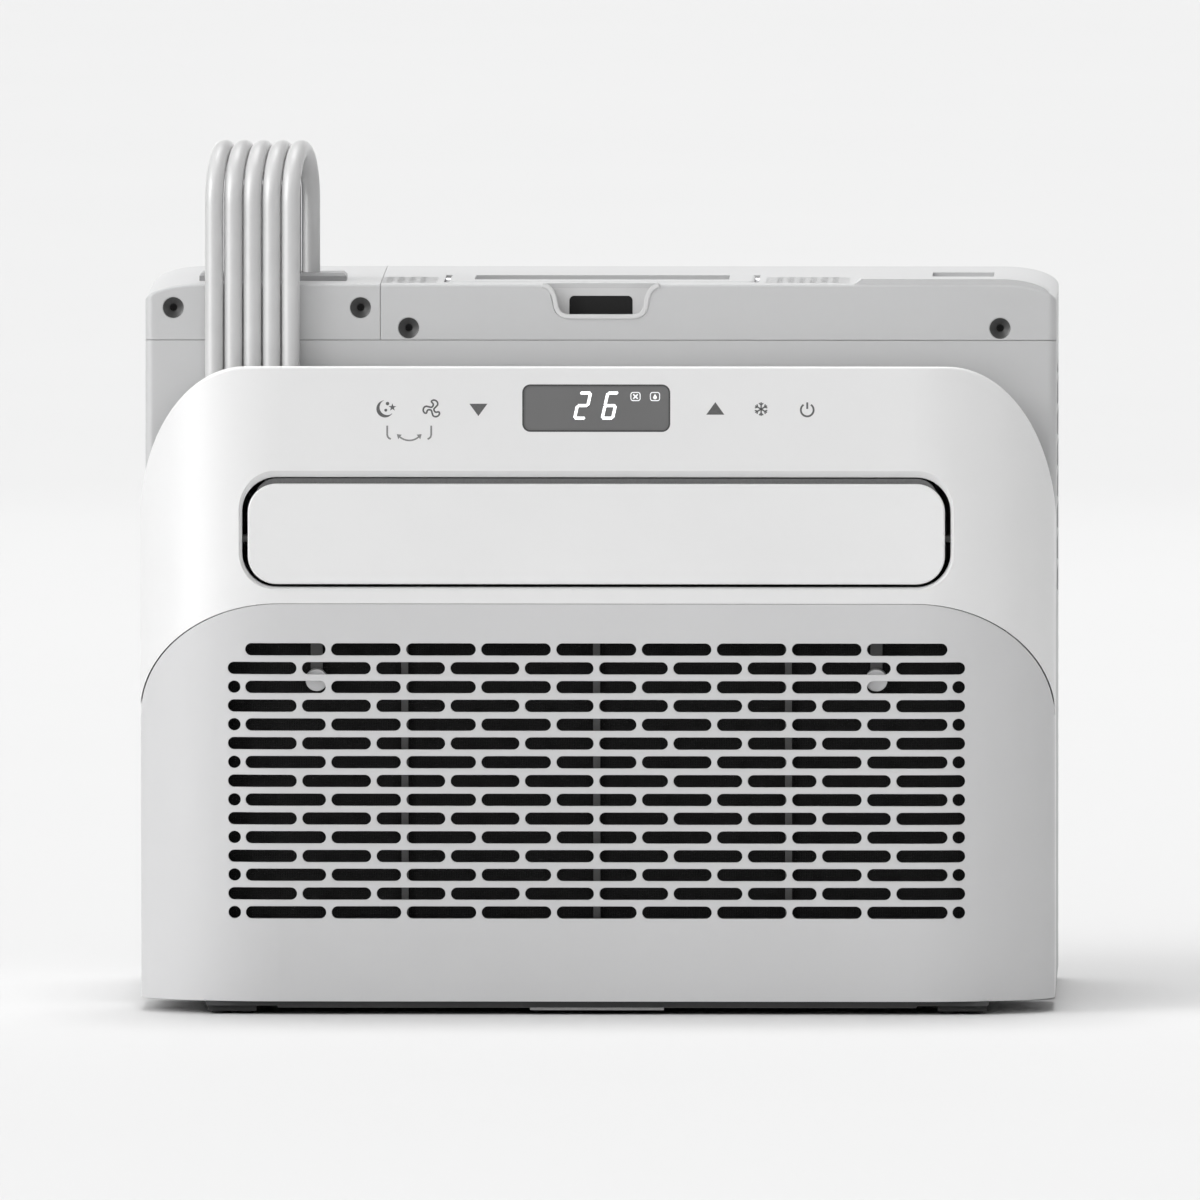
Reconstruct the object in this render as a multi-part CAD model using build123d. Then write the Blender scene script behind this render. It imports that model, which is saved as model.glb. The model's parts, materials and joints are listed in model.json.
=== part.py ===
from build123d import *
import math
import os

# Split window air conditioner: a low indoor unit, a taller outdoor unit back to back behind it,
# and a bundle of five hoses that arches over from one to the other.
# Millimetres. The origin is on the floor under the middle of the whole object.
# -Y faces the room, +X is to the right of a person who faces the controls, +Z is up.

os.makedirs("parts", exist_ok=True)

# Whole object
WIDTH = 458.0
HALF = WIDTH / 2
FRONT_Y = -175.0
REAR_Y = 175.0
INDOOR_BACK_Y = -35.0
UNIT_GAP = 14.0
OUTDOOR_FRONT_Y = INDOOR_BACK_Y + UNIT_GAP
FLOOR_GAP = 6.5
WALL = 2.6
SEAM = 0.2
GRILLE_SEAM = 0.2
SPARE = 10.0
# The top curves are this much wider than the sides, so they meet them at a faint crease.
TANGENT_SPARE = 0.12
RUNNING = 0.05

# Indoor unit: outer form
INDOOR_TOP = 326.0
TOP_FALL = 0.075
SHOULDER_ACROSS = 53.5
SHOULDER_HIGH = 76.0
CORNER_ACROSS = 70.0
UPPER_SETBACK = 50.0
LOWER_SETBACK = 43.6
CREASE_Z = 207.0
LEAN = 0.11
PARTING_Y = -113.0
RIM_ROUND = 1.5

# Inlet grille: fifteen rows of slots, laid like brickwork
SLOT_ROWS = 15
ROW_PITCH = 9.47
FIRST_ROW_Z = 184.0
SLOT_HIGH = 6.25
SLOT_GAP = 2.75
EVEN_SLOTS = 10
EVEN_LENGTH = 34.4
ODD_LENGTHS = [40.2, 34.8, 34.8, 34.8, 40.0, 34.8, 34.8, 34.8, 40.2]
END_HOLE_X = 181.2

CATCH_X = 140.0
CATCH_Z = 168.5

# Display and touch keys
DISPLAY_HALF = 36.75
DISPLAY_LOW = 293.5
DISPLAY_HIGH = 316.5
DISPLAY_ROUND = 3.8
KEY_Z = 304.6
KEY_SPOTS = [-105.5, -82.5, -59.0, 59.5, 82.5, 105.5]

# Air outlet
OUTLET_HALF = 177.2
OUTLET_LOW = 215.25
OUTLET_HIGH = 270.25
OUTLET_ROUND = 17.2
RIM_BACK_Y = -162.0
MOUTH_DEEP = 4.0
MOUTH_FLARE = 3.3
RIM_WALL = 2.4
FLAP_HALF = 174.3
FLAP_LOW = 216.75
FLAP_HIGH = 267.0
FLAP_ROUND = 14.3
FLAP_THICK = 3.0
FLAP_FACE_Y = FRONT_Y + 1.6
FLAP_PIVOT_Y = FLAP_FACE_Y + 4.5
FLAP_PIVOT_Z = 239.5
FLAP_PIN_RADIUS = 2.0

# Swing vanes in the outlet duct
VANES = 6
VANE_PITCH = 56.0
VANE_Y = -131.0
VANE_CHORD = 26.0
VANE_THICK = 1.6
VANE_PIN_RADIUS = 2.0
CRANK = 9.0
CRANK_PIN_RADIUS = 1.3
DUCT_WALL = 3.0
DUCT_BACK_Y = -117.5
BAR_LOW = 219.5
BAR_THICK = 3.0

# Indoor air path
BLOWER_RADIUS = 34.0
BLOWER_Y = -80.0
BLOWER_Z = 200.0
BLOWER_HALF = 160.0
BLADES = 26
SHAFT_RADIUS = 4.0
END_PLATE_X = 165.0
SHAFT_END = 172.0

# Outdoor unit: outer form
OUTDOOR_TOP = 360.0
CROWN_ACROSS = 28.0
CROWN_HIGH = 9.0
COVER_Z = 331.7
COVER_SPLIT_X = -110.75
CASE_SPLIT_Y = 22.0
FRONT_CORNER = 4.0
REAR_CORNER = 16.0
SCREW_SPOTS = [(-214.9, 348.0), (-120.75, 348.0), (-96.55, 337.8), (200.75, 337.8)]
COUNTERBORE_RADIUS = 5.3
COUNTERBORE_DEEP = 10.0
SCREW_RADIUS = 1.9
RECESS_FLOOR = 343.2
RECESS_BACK_Y = -13.0
LATCH_LOW = 344.4
LATCH_HIGH = 353.4
RIDGE_HIGH = 2.5
LOUVRE_FRONT_Y = 34.0
LOUVRE_BACK_Y = 146.0
LOUVRE_LOW = 192.0
LOUVRE_HIGH = 318.0
LOUVRE_DEEP = 9.0
LOUVRE_SLATS = 8
GRILLE_HALF = 124.0
REAR_ROWS = 24
PAN_FLOOR = FLOOR_GAP + 1.6
DRAIN_X = 150.0
DRAIN_Y = 40.0
DRAIN_RADIUS = 8.0

# Carry handle in the top of the outdoor unit
HANDLE_HALF = 77.0
HANDLE_FRONT_Y = -1.0
HANDLE_PIVOT_Y = 62.0
HANDLE_THICK = 8.0
HANDLE_GRIP = 21.0
HANDLE_ARM = 13.0
HANDLE_WELL = 12.0
HANDLE_PIN_RADIUS = 3.0
GRIP_HALF = 62.0
GRIP_BACK_Y = 55.0

# Outdoor inside
TUBE_RADIUS = 3.5
FIN_CLEARANCE = 0.4
EVAPORATOR_COLUMNS = [-134.0, -124.0]
CONDENSER_Y = 150.0
CONDENSER_COLUMNS = [145.0, 155.0]
CONDENSER_LEFT = -58.0
CONDENSER_LOW = 40.0
COMPRESSOR_X = -160.0
COMPRESSOR_Y = 96.0
PIPE_RADIUS = 4.0
SHROUD_Y = 126.0

# Condenser fan
FAN_RADIUS = 104.0
FAN_X = 66.0
FAN_Z = 165.0
FAN_Y = 88.0
FAN_BLADES = 5

# Hose bundle
HOSES = 5
HOSE_RADIUS = 4.65
HOSE_PITCH = 9.6
HOSE_FIRST_X = -194.2
HOSE_FRONT_Y = -28.0
HOSE_REAR_Y = 24.0
HOSE_SIDESTEP = 9.2
HOSE_ARCH_Z = 427.0
GLAND_TOP = 296.0
COLLAR_TOP = 364.0
COLLAR_X = -165.5
COLLAR_HALF = 37.0


def block(x0, x1, y0, y1, z0, z1):
    """Rectangular block between two opposite corners."""
    middle = Pos((x0 + x1) / 2, (y0 + y1) / 2, (z0 + z1) / 2)
    return middle * Box(x1 - x0, y1 - y0, z1 - z0)


def rod(start, direction, radius, length):
    """Round rod from a point along a direction."""
    return extrude(Plane(origin=start, z_dir=direction) * Circle(radius), length)


def front_plane(y):
    """Upright plane whose own axes are X and Z, at a depth y, facing the room."""
    return Plane(origin=(0, y, 0), x_dir=(1, 0, 0), z_dir=(0, -1, 0))


def slab_xz(sketch, y0, y1):
    """Sketch drawn in X and Z, as thick as from y0 back to y1."""
    return extrude(front_plane(y1) * sketch, y1 - y0, dir=(0, -1, 0))


def rounded_plate(x0, x1, z0, z1, radius):
    """Rectangle in X and Z with round corners."""
    middle = Pos((x0 + x1) / 2, (z0 + z1) / 2)
    return middle * RectangleRounded(x1 - x0, z1 - z0, radius)


def save(name, *shapes):
    """Write the solids of one node."""
    solids = [solid for shape in shapes for solid in shape.solids()]
    node = solids[0] if len(solids) == 1 else Compound(children=solids)
    export_step(node, f"parts/{name}.step")


# ---------------------------------------------------------------- indoor unit: outer form


def plan_face(front_y, back_y, setback, inset):
    """Level outline of the indoor unit: flat front, elliptical corners, straight sides."""
    half = HALF - inset
    across = CORNER_ACROSS - inset
    deep = setback - inset
    flat = half - across
    y = front_y + inset
    back = back_y - inset
    left = EllipticalCenterArc((-flat, y + deep), across, deep, 180, arc_size=90)
    right = EllipticalCenterArc((flat, y + deep), across, deep, 270, arc_size=90)
    sides = Polyline((half, y + deep), (half, back), (-half, back), (-half, y + deep))
    return make_face(left + Line((-flat, y), (flat, y)) + right + sides)


def shoulder_face(inset):
    """Upright outline of the indoor unit: flat top and large elliptical shoulders."""
    half = HALF + TANGENT_SPARE - inset
    across = SHOULDER_ACROSS - inset
    high = SHOULDER_HIGH - inset
    flat = half - across
    top = INDOOR_TOP - inset
    foot = -SPARE
    left = EllipticalCenterArc((-flat, top - high), across, high, 90, arc_size=90)
    right = EllipticalCenterArc((flat, top - high), across, high, 0, arc_size=90)
    sides = Polyline((-half, top - high), (-half, foot), (half, foot), (half, top - high))
    return make_face(right + Line((flat, top), (-flat, top)) + left + sides)


def indoor_body(inset):
    """Solid inside the indoor unit's outer surface, moved inwards by the inset."""
    tall = INDOOR_TOP + 2 * SPARE
    upright = extrude(plan_face(FRONT_Y, INDOOR_BACK_Y, UPPER_SETBACK, inset), tall)
    foot_y = FRONT_Y + LEAN * CREASE_Z
    far_y = INDOOR_BACK_Y + LEAN * tall
    leaning = extrude(plan_face(foot_y, far_y, LOWER_SETBACK, inset), tall, dir=(0, -LEAN, 1))
    deep = INDOOR_BACK_Y - FRONT_Y + 2 * SPARE
    start = Plane(origin=(0, FRONT_Y - SPARE, TOP_FALL * SPARE), x_dir=(1, 0, 0), z_dir=(0, -1, 0))
    arch = extrude(start * shoulder_face(inset), deep, dir=(0, 1, -TOP_FALL))
    return upright & leaning & arch


def arch_region(grow):
    """Prism below the crease line, which parts the inlet grille from the shell above it."""
    half = HALF + SPARE
    # Grown more sideways than upwards, so its curves cross the flanks of the casing at an angle.
    end = HALF + 3 * grow
    across = CORNER_ACROSS
    high = (UPPER_SETBACK - LOWER_SETBACK) / LEAN
    flat = end - across
    z = CREASE_Z + grow
    foot = z - high
    left = EllipticalCenterArc((-flat, foot), across, high, 90, arc_size=90)
    right = EllipticalCenterArc((flat, foot), across, high, 0, arc_size=90)
    sides = Polyline((-end, foot), (-half, foot), (-half, -SPARE), (half, -SPARE), (half, foot), (end, foot))
    face = make_face(right + Line((flat, z), (-flat, z)) + left + sides)
    return slab_xz(face, FRONT_Y - SPARE, INDOOR_BACK_Y + SPARE)


def indoor_skin():
    """Hollow wall of the whole indoor unit, open underneath."""
    outer = indoor_body(0)
    rim = outer.edges().filter_by(lambda e: is_rim(e))
    outer = fillet(rim, RIM_ROUND)
    above_floor = block(-HALF, HALF, FRONT_Y, INDOOR_BACK_Y, FLOOR_GAP, INDOOR_TOP)
    return (outer & above_floor) - indoor_body(WALL)


def is_rim(edge):
    """True on the edge round the top and the shoulders of the front face."""
    middle = edge.center()
    rise = abs((edge @ 1).Z - (edge @ 0).Z)
    run = abs((edge @ 1).X - (edge @ 0).X)
    return middle.Z > CREASE_Z + SPARE and middle.Y < PARTING_Y - SPARE and run > 0.05 * rise



# ---------------------------------------------------------------- indoor unit: casing pieces


def opening_loft():
    """Tapered mouth round the air outlet, wide at the front and as wide as the outlet behind."""
    half = OUTLET_HALF + MOUTH_FLARE
    wide = rounded_plate(-half, half, OUTLET_LOW - 0.9, OUTLET_HIGH + MOUTH_FLARE, OUTLET_ROUND + 2)
    narrow = rounded_plate(-OUTLET_HALF, OUTLET_HALF, OUTLET_LOW, OUTLET_HIGH, OUTLET_ROUND)
    return loft([front_plane(FRONT_Y) * wide, front_plane(FRONT_Y + MOUTH_DEEP) * narrow])


def indoor_front_shell(skin):
    """Upper front of the indoor unit, with the rim of the air outlet and the display pocket."""
    shell = skin & block(-HALF, HALF, FRONT_Y, PARTING_Y, 0, INDOOR_TOP)
    shell = shell - arch_region(GRILLE_SEAM / 2)
    half = OUTLET_HALF + RIM_WALL
    outline = rounded_plate(-half, half, OUTLET_LOW - RIM_WALL, OUTLET_HIGH + RIM_WALL, OUTLET_ROUND)
    rim = slab_xz(outline, FRONT_Y, RIM_BACK_Y) & indoor_body(WALL / 2)
    hole = rounded_plate(-OUTLET_HALF, OUTLET_HALF, OUTLET_LOW, OUTLET_HIGH, OUTLET_ROUND)
    shell = shell + rim - slab_xz(hole, FRONT_Y - 1, RIM_BACK_Y + 1) - opening_loft()
    pocket = rounded_plate(-DISPLAY_HALF, DISPLAY_HALF, DISPLAY_LOW, DISPLAY_HIGH, DISPLAY_ROUND)
    shell = shell - slab_xz(pocket, FRONT_Y - 1, FRONT_Y + WALL + 1)
    bore = rod((-HALF, FLAP_PIVOT_Y, FLAP_PIVOT_Z), (1, 0, 0), FLAP_PIN_RADIUS + RUNNING, WIDTH)
    bore = bore & block(-OUTLET_HALF - 4, OUTLET_HALF + 4, FRONT_Y + 1, RIM_BACK_Y, FLAP_LOW, FLAP_HIGH)
    return shell - bore


def slot_row(row):
    """Middle and length of each slot in one row of the grille, counted from the top."""
    if row % 2 == 1:
        lengths = [EVEN_LENGTH] * EVEN_SLOTS
    else:
        lengths = ODD_LENGTHS
    x = -(sum(lengths) + SLOT_GAP * (len(lengths) - 1)) / 2
    slots = []
    for length in lengths:
        slots.append((x + length / 2, length))
        x = x + length + SLOT_GAP
    if row % 2 == 0 and row > 0:
        slots.append((-END_HOLE_X, SLOT_HIGH))
        slots.append((END_HOLE_X, SLOT_HIGH))
    return slots


def grille_openings():
    """All slots and end holes of the grille as one sketch in X and Z."""
    shapes = []
    for row in range(SLOT_ROWS):
        z = FIRST_ROW_Z - row * ROW_PITCH
        for x, length in slot_row(row):
            if length > SLOT_HIGH:
                shapes.append(Pos(x, z) * SlotOverall(length, SLOT_HIGH))
            else:
                shapes.append(Pos(x, z) * Circle(SLOT_HIGH / 2))
    return Sketch() + shapes


def inlet_grille(skin):
    """Slotted lower front of the indoor unit, which pulls off forwards."""
    panel = skin & block(-HALF, HALF, FRONT_Y, PARTING_Y, 0, INDOOR_TOP)
    panel = panel & arch_region(-GRILLE_SEAM / 2)
    return panel - slab_xz(grille_openings(), FRONT_Y - 1, FRONT_Y + 40)


def indoor_rear_casing(skin):
    """Back half of the indoor unit's casing, open to the front and underneath."""
    casing = skin & block(-HALF, HALF, PARTING_Y + SEAM, INDOOR_BACK_Y, 0, INDOOR_TOP)
    return casing


def indoor_base_pan():
    """Floor of the indoor unit, just inside the casing."""
    level = block(-HALF, HALF, FRONT_Y, INDOOR_BACK_Y, FLOOR_GAP, FLOOR_GAP + 2.5)
    return indoor_body(WALL + SEAM) & level


def indoor_base_plate():
    """Dark steel plate under the floor of the indoor unit, turned down along its front edge."""
    plate = block(-196, 196, -148, -42, FLOOR_GAP - 2.4, FLOOR_GAP - 0.05)
    return plate + block(-160, 160, -148, -146.5, FLOOR_GAP - 3.4, FLOOR_GAP - 0.05)


def indoor_feet():
    """Four dark feet of the indoor unit, each with two round pads on the floor, and two corner stops."""
    feet = []
    for x in (-182.8, 182.8):
        for y in (-134, -56):
            foot = block(x - 12.25, x + 12.25, y - 10, y + 10, 1.2, FLOOR_GAP - 2.4)
            for side in (-6.2, 6.2):
                foot = foot + rod((x + side, y, 0), (0, 0, 1), 4.2, 2)
            feet.append(foot)
    for x in (-219.2, 219.2):
        feet.append(Pos(x, -92, FLOOR_GAP - 0.6) * extrude(SlotOverall(13, 8), 0.6))
    return feet


def display_window():
    """Smoked window over the display, let into the shell."""
    gap = SEAM / 4
    window = rounded_plate(
        -DISPLAY_HALF + gap, DISPLAY_HALF - gap, DISPLAY_LOW + gap, DISPLAY_HIGH - gap, DISPLAY_ROUND - gap
    )
    return slab_xz(window, FRONT_Y + 0.3, FRONT_Y + 2.0)


def control_board():
    """Circuit board behind the display and the touch keys, with its spring pads."""
    board_y = FRONT_Y + WALL + 4
    board = block(-120, 120, board_y, board_y + 1.6, 291, 318)
    for x in KEY_SPOTS:
        board = board + rod((x, board_y, KEY_Z), (0, -1, 0), 4.5, 3.6)
    board = board + block(-34, 34, board_y - 4.2, board_y, 295, 315)
    return board


# ---------------------------------------------------------------- indoor unit: air outlet


def outlet_flap():
    """Outlet flap with an ear and a pivot pin at each end."""
    face = rounded_plate(-FLAP_HALF, FLAP_HALF, FLAP_LOW, FLAP_HIGH, FLAP_ROUND)
    flap = slab_xz(face, FLAP_FACE_Y, FLAP_FACE_Y + FLAP_THICK)
    front = flap.faces().sort_by(Axis.Y)[0]
    flap = fillet(front.edges(), 0.8)
    for side in (-1, 1):
        end = side * FLAP_HALF
        ear = block(
            min(end, end - side * 5), max(end, end - side * 5),
            FLAP_FACE_Y + 1, FLAP_PIVOT_Y, FLAP_PIVOT_Z - 4, FLAP_PIVOT_Z + 4
        )
        nose = rod((end, FLAP_PIVOT_Y, FLAP_PIVOT_Z), (-side, 0, 0), 4, 5)
        pin = rod((end - side, FLAP_PIVOT_Y, FLAP_PIVOT_Z), (side, 0, 0), FLAP_PIN_RADIUS, 5.4)
        flap = flap + ear + nose + pin
    for z in (FLAP_PIVOT_Z - 12, FLAP_PIVOT_Z, FLAP_PIVOT_Z + 14):
        flap = flap + block(-160, 160, FLAP_FACE_Y + 2, FLAP_FACE_Y + 5, z - 0.8, z + 0.8)
    return flap


def flap_motor():
    """Small stepping motor with its gear case, beyond the right end of the outlet."""
    x = OUTLET_HALF + RIM_WALL + 2.4
    case = block(x, x + 3, FLAP_PIVOT_Y + 4, FLAP_PIVOT_Y + 22, FLAP_PIVOT_Z - 6, FLAP_PIVOT_Z + 6)
    motor = rod((x, FLAP_PIVOT_Y + 24, FLAP_PIVOT_Z), (1, 0, 0), 12, 16)
    ears = block(x, x + 1.2, FLAP_PIVOT_Y + 21, FLAP_PIVOT_Y + 27, FLAP_PIVOT_Z - 17, FLAP_PIVOT_Z + 17)
    return case + motor + ears


def vane_x(number):
    """Place of a vane along the outlet."""
    return (number - (VANES - 1) / 2) * VANE_PITCH


def outlet_duct():
    """Four walls of the air outlet behind the rim, bored for the vane pins."""
    outer = block(
        -OUTLET_HALF - DUCT_WALL, OUTLET_HALF + DUCT_WALL, RIM_BACK_Y, DUCT_BACK_Y,
        OUTLET_LOW - DUCT_WALL, OUTLET_HIGH + DUCT_WALL
    )
    duct = outer - block(-OUTLET_HALF, OUTLET_HALF, RIM_BACK_Y, DUCT_BACK_Y, OUTLET_LOW, OUTLET_HIGH)
    for number in range(VANES):
        foot = (vane_x(number), VANE_Y, OUTLET_LOW - DUCT_WALL)
        height = OUTLET_HIGH - OUTLET_LOW + 2 * DUCT_WALL
        duct = duct - rod(foot, (0, 0, 1), VANE_PIN_RADIUS + RUNNING, height)
    return duct


def swing_vane(number):
    """Upright vane that turns left and right, with its pins and its crank pin."""
    x = vane_x(number)
    front = VANE_Y - VANE_CHORD / 2
    back = VANE_Y + VANE_CHORD / 2
    low = OUTLET_LOW + 1
    plate = block(x - VANE_THICK / 2, x + VANE_THICK / 2, front, back, low, OUTLET_HIGH - 1)
    notch_top = BAR_LOW + BAR_THICK + 1.2
    plate = plate - block(x - 2, x + 2, VANE_Y + 3.5, back, low, notch_top)
    lower = rod((x, VANE_Y, OUTLET_LOW - DUCT_WALL), (0, 0, 1), VANE_PIN_RADIUS, DUCT_WALL + 6)
    upper = rod((x, VANE_Y, OUTLET_HIGH - 6), (0, 0, 1), VANE_PIN_RADIUS, DUCT_WALL + 6)
    crank = rod((x, VANE_Y + CRANK, BAR_LOW - 1), (0, 0, 1), CRANK_PIN_RADIUS, notch_top - BAR_LOW + 3)
    return plate + lower + upper + crank


def vane_link_bar():
    """Bar that joins the crank pins, so that all vanes turn together."""
    y = VANE_Y + CRANK
    reach = vane_x(VANES - 1) + 6
    bar = block(-reach, reach, y - 3, y + 3, BAR_LOW, BAR_LOW + BAR_THICK)
    for number in range(VANES):
        bar = bar - rod((vane_x(number), y, BAR_LOW - 1), (0, 0, 1), CRANK_PIN_RADIUS + 0.1, BAR_THICK + 2)
    return bar


# ---------------------------------------------------------------- indoor unit: inside


def filter_place():
    """Leaning place of the air filter behind the grille, hung from the crease line."""
    return Location((0, FRONT_Y + WALL + 5.5, CREASE_Z), (math.degrees(math.atan(LEAN)), 0, 0))


def filter_frame():
    """Frame of the air filter with three upright ribs."""
    frame = block(-187, 187, 0, 4, -165, -12) - block(-184.6, 184.6, 0, 4, -160, -17)
    for x in (-96, 0, 96):
        frame = frame + block(x - 1.75, x + 1.75, 0, 2, -160, -17)
    for x in (-CATCH_X, CATCH_X):
        frame = frame + Pos(x, 0, CATCH_Z - CREASE_Z) * block(-3, 3, 0, 2, -5, 22)
    return filter_place() * frame


def filter_mesh():
    """Dark fibre sheet of the air filter, held behind the ribs."""
    return filter_place() * block(-184.5, 184.5, 2.1, 3.6, -159.9, -17.1)


def grille_catches():
    """Two round catches between the filter frame and the back of the grille."""
    catches = []
    for x in (-CATCH_X, CATCH_X):
        catches.append(filter_place() * rod((x, 0, CATCH_Z - CREASE_Z), (0, -1, 0), 5.5, 4.2))
    return catches


def coil_tubes(x0, x1, columns, z0, rows, pitch, radius):
    """Straight tubes along X joined into one serpentine for each column."""
    solids = []
    for y in columns:
        for row in range(rows):
            z = z0 + row * pitch
            solids.append(rod((x0, y, z), (1, 0, 0), radius, x1 - x0))
        for row in range(rows - 1):
            z = z0 + (row + 0.5) * pitch
            if row % 2 == 0:
                end, turn = x1, 1
            else:
                end, turn = x0, -1
            plane = Plane(origin=(end, y, z), x_dir=(0, 0, turn), z_dir=(0, 1, 0))
            solids.append(plane * Torus(pitch / 2, radius, major_angle=180))
    return solids


def coil_fins(x0, x1, y0, y1, z0, z1, step, columns, tube_z0, rows, pitch, radius):
    """Thin upright plates threaded on the tubes."""
    plate = block(-0.3, 0.3, y0, y1, z0, z1)
    for y in columns:
        for row in range(rows):
            plate = plate - rod((-1, y, tube_z0 + row * pitch), (1, 0, 0), radius + FIN_CLEARANCE, 2)
    count = int((x1 - x0) / step) + 1
    return [Pos(x0 + number * step, 0, 0) * plate for number in range(count)]


def condensate_pan():
    """Tray under the evaporator that catches its water."""
    tray = block(-172, 172, -146, -112, 11, 22)
    return tray - block(-170, 170, -144, -114, 13, 22)


def blower_wheel():
    """Crossflow wheel: three discs on a shaft, joined by a ring of curved blades."""
    profile = Pos(BLOWER_RADIUS - 4.5, 0) * Rot(0, 0, 35) * Rectangle(8, 0.9)
    start = Plane(origin=(-BLOWER_HALF, 0, 0), x_dir=(0, 1, 0), z_dir=(1, 0, 0))
    blade = extrude(start * profile, 2 * BLOWER_HALF)
    wheel = Part()
    for x in (-BLOWER_HALF, -1.5, BLOWER_HALF - 3):
        wheel = wheel + rod((x, 0, 0), (1, 0, 0), BLOWER_RADIUS, 3)
    wheel = wheel + rod((-SHAFT_END, 0, 0), (1, 0, 0), SHAFT_RADIUS, SHAFT_END + BLOWER_HALF + 14)
    for number in range(BLADES):
        wheel = wheel + Rot(360 * number / BLADES, 0, 0) * blade
    return Pos(0, BLOWER_Y, BLOWER_Z) * wheel


def blower_scroll():
    """Curved guide behind the blower wheel, between two end plates."""
    side = Plane(origin=(-END_PLATE_X, 0, 0), x_dir=(0, 1, 0), z_dir=(1, 0, 0))
    start = CenterArc((BLOWER_Y, BLOWER_Z), BLOWER_RADIUS + 3.5, -70, 100)
    finish = TangentArc(start @ 1, (DUCT_BACK_Y + 1.5, OUTLET_HIGH + 0.9), tangent=start % 1)
    guide = extrude(side * trace(start + finish, 1.6), 2 * END_PLATE_X)
    lip = Line((DUCT_BACK_Y + 0.9, OUTLET_LOW - 0.5), (DUCT_BACK_Y + 0.9, OUTLET_LOW - 12))
    scroll = [guide, extrude(side * trace(lip, 1.6), 2 * END_PLATE_X)]
    for x in (-END_PLATE_X - 3, END_PLATE_X):
        plate = block(x, x + 3, DUCT_BACK_Y, INDOOR_BACK_Y - WALL - 1, BLOWER_Z - 44, OUTLET_HIGH + 2)
        scroll.append(plate - rod((x - 1, BLOWER_Y, BLOWER_Z), (1, 0, 0), 9, 5))
    return scroll


def blower_motor():
    """Motor on the right-hand end of the blower wheel."""
    x = END_PLATE_X + 3
    spot = (x, BLOWER_Y, BLOWER_Z)
    motor = rod(spot, (1, 0, 0), 24, 36) - rod(spot, (1, 0, 0), SHAFT_RADIUS + RUNNING, 20)
    return motor


def blower_bearing():
    """Rubber-mounted bearing at the left-hand end of the blower wheel."""
    spot = (-END_PLATE_X - 3, BLOWER_Y, BLOWER_Z)
    return rod(spot, (1, 0, 0), 9, 3) + rod(spot, (-1, 0, 0), 13, 4) - rod(
        (spot[0] - 5, BLOWER_Y, BLOWER_Z), (1, 0, 0), SHAFT_RADIUS + RUNNING, 9
    )


def hose_gland():
    """Block on the back of the indoor unit that the five hoses come up out of."""
    left = HOSE_FIRST_X - 9
    right = HOSE_FIRST_X + (HOSES - 1) * HOSE_PITCH + 9
    block_ = block(left, right, INDOOR_BACK_Y, INDOOR_BACK_Y + 12.5, GLAND_TOP - 46, GLAND_TOP)
    edges = block_.edges().filter_by(Axis.X).group_by(Axis.Y)[-1]
    return fillet(edges, 2.5)


# ---------------------------------------------------------------- outdoor unit: outer form


def outdoor_body(inset):
    """Solid inside the outdoor unit's outer surface, moved inwards by the inset."""
    half = HALF - inset
    top = OUTDOOR_TOP - inset
    core = block(-half, half, OUTDOOR_FRONT_Y + inset, REAR_Y - inset, 0, top)
    uprights = core.edges().filter_by(Axis.Z).group_by(Axis.Y)
    core = fillet(uprights[0], max(FRONT_CORNER - inset, 1))
    uprights = core.edges().filter_by(Axis.Z).group_by(Axis.Y)
    core = fillet(uprights[-1], REAR_CORNER - inset)
    across = CROWN_ACROSS - inset
    high = CROWN_HIGH - inset
    half = half + TANGENT_SPARE
    flat = half - across
    right = EllipticalCenterArc((flat, top - high), across, high, 0, arc_size=90)
    left = EllipticalCenterArc((-flat, top - high), across, high, 90, arc_size=90)
    sides = Polyline((-half, top - high), (-half, 0), (half, 0), (half, top - high))
    crown = make_face(right + Line((flat, top), (-flat, top)) + left + sides)
    return core & slab_xz(crown, OUTDOOR_FRONT_Y - SPARE, REAR_Y + SPARE)


def outdoor_skin():
    """Hollow wall of the whole outdoor unit, open underneath, with soft top edges."""
    outer = outdoor_body(0)
    edges = outer.edges().filter_by(lambda e: is_top_edge(e))
    outer = fillet(edges, RIM_ROUND)
    above_floor = block(-HALF, HALF, OUTDOOR_FRONT_Y, REAR_Y, FLOOR_GAP, OUTDOOR_TOP)
    return (outer & above_floor) - outdoor_body(WALL)


def is_top_edge(edge):
    """True on the long straight edges at the front and back of the flat top."""
    return edge.center().Z > OUTDOOR_TOP - 0.1 and edge.length > WIDTH / 2


def hand_recess_face(grow):
    """U-shaped outline of the hand recess in the front edge of the top."""
    top = OUTDOOR_TOP + SPARE
    line = FilletPolyline(
        (-40, OUTDOOR_TOP - grow), (-26.5 - grow, OUTDOOR_TOP - grow), (-22.6 - grow, RECESS_FLOOR - grow),
        (22.6 + grow, RECESS_FLOOR - grow), (26.5 + grow, OUTDOOR_TOP - grow), (40, OUTDOOR_TOP - grow),
        radius=[4 - grow, 5.5 + grow, 5.5 + grow, 4 - grow]
    )
    lid = Polyline((40, OUTDOOR_TOP - grow), (40, top), (-40, top), (-40, OUTDOOR_TOP - grow))
    return make_face(line + lid)


def screw_holes():
    """Counterbored holes for the cover screws."""
    holes = []
    for x, z in SCREW_SPOTS:
        start = OUTDOOR_FRONT_Y - 1
        holes.append(rod((x, start, z), (0, 1, 0), COUNTERBORE_RADIUS, COUNTERBORE_DEEP + 1))
        holes.append(rod((x, start, z), (0, 1, 0), SCREW_RADIUS + RUNNING, COUNTERBORE_DEEP + 12))
    return holes


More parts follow.
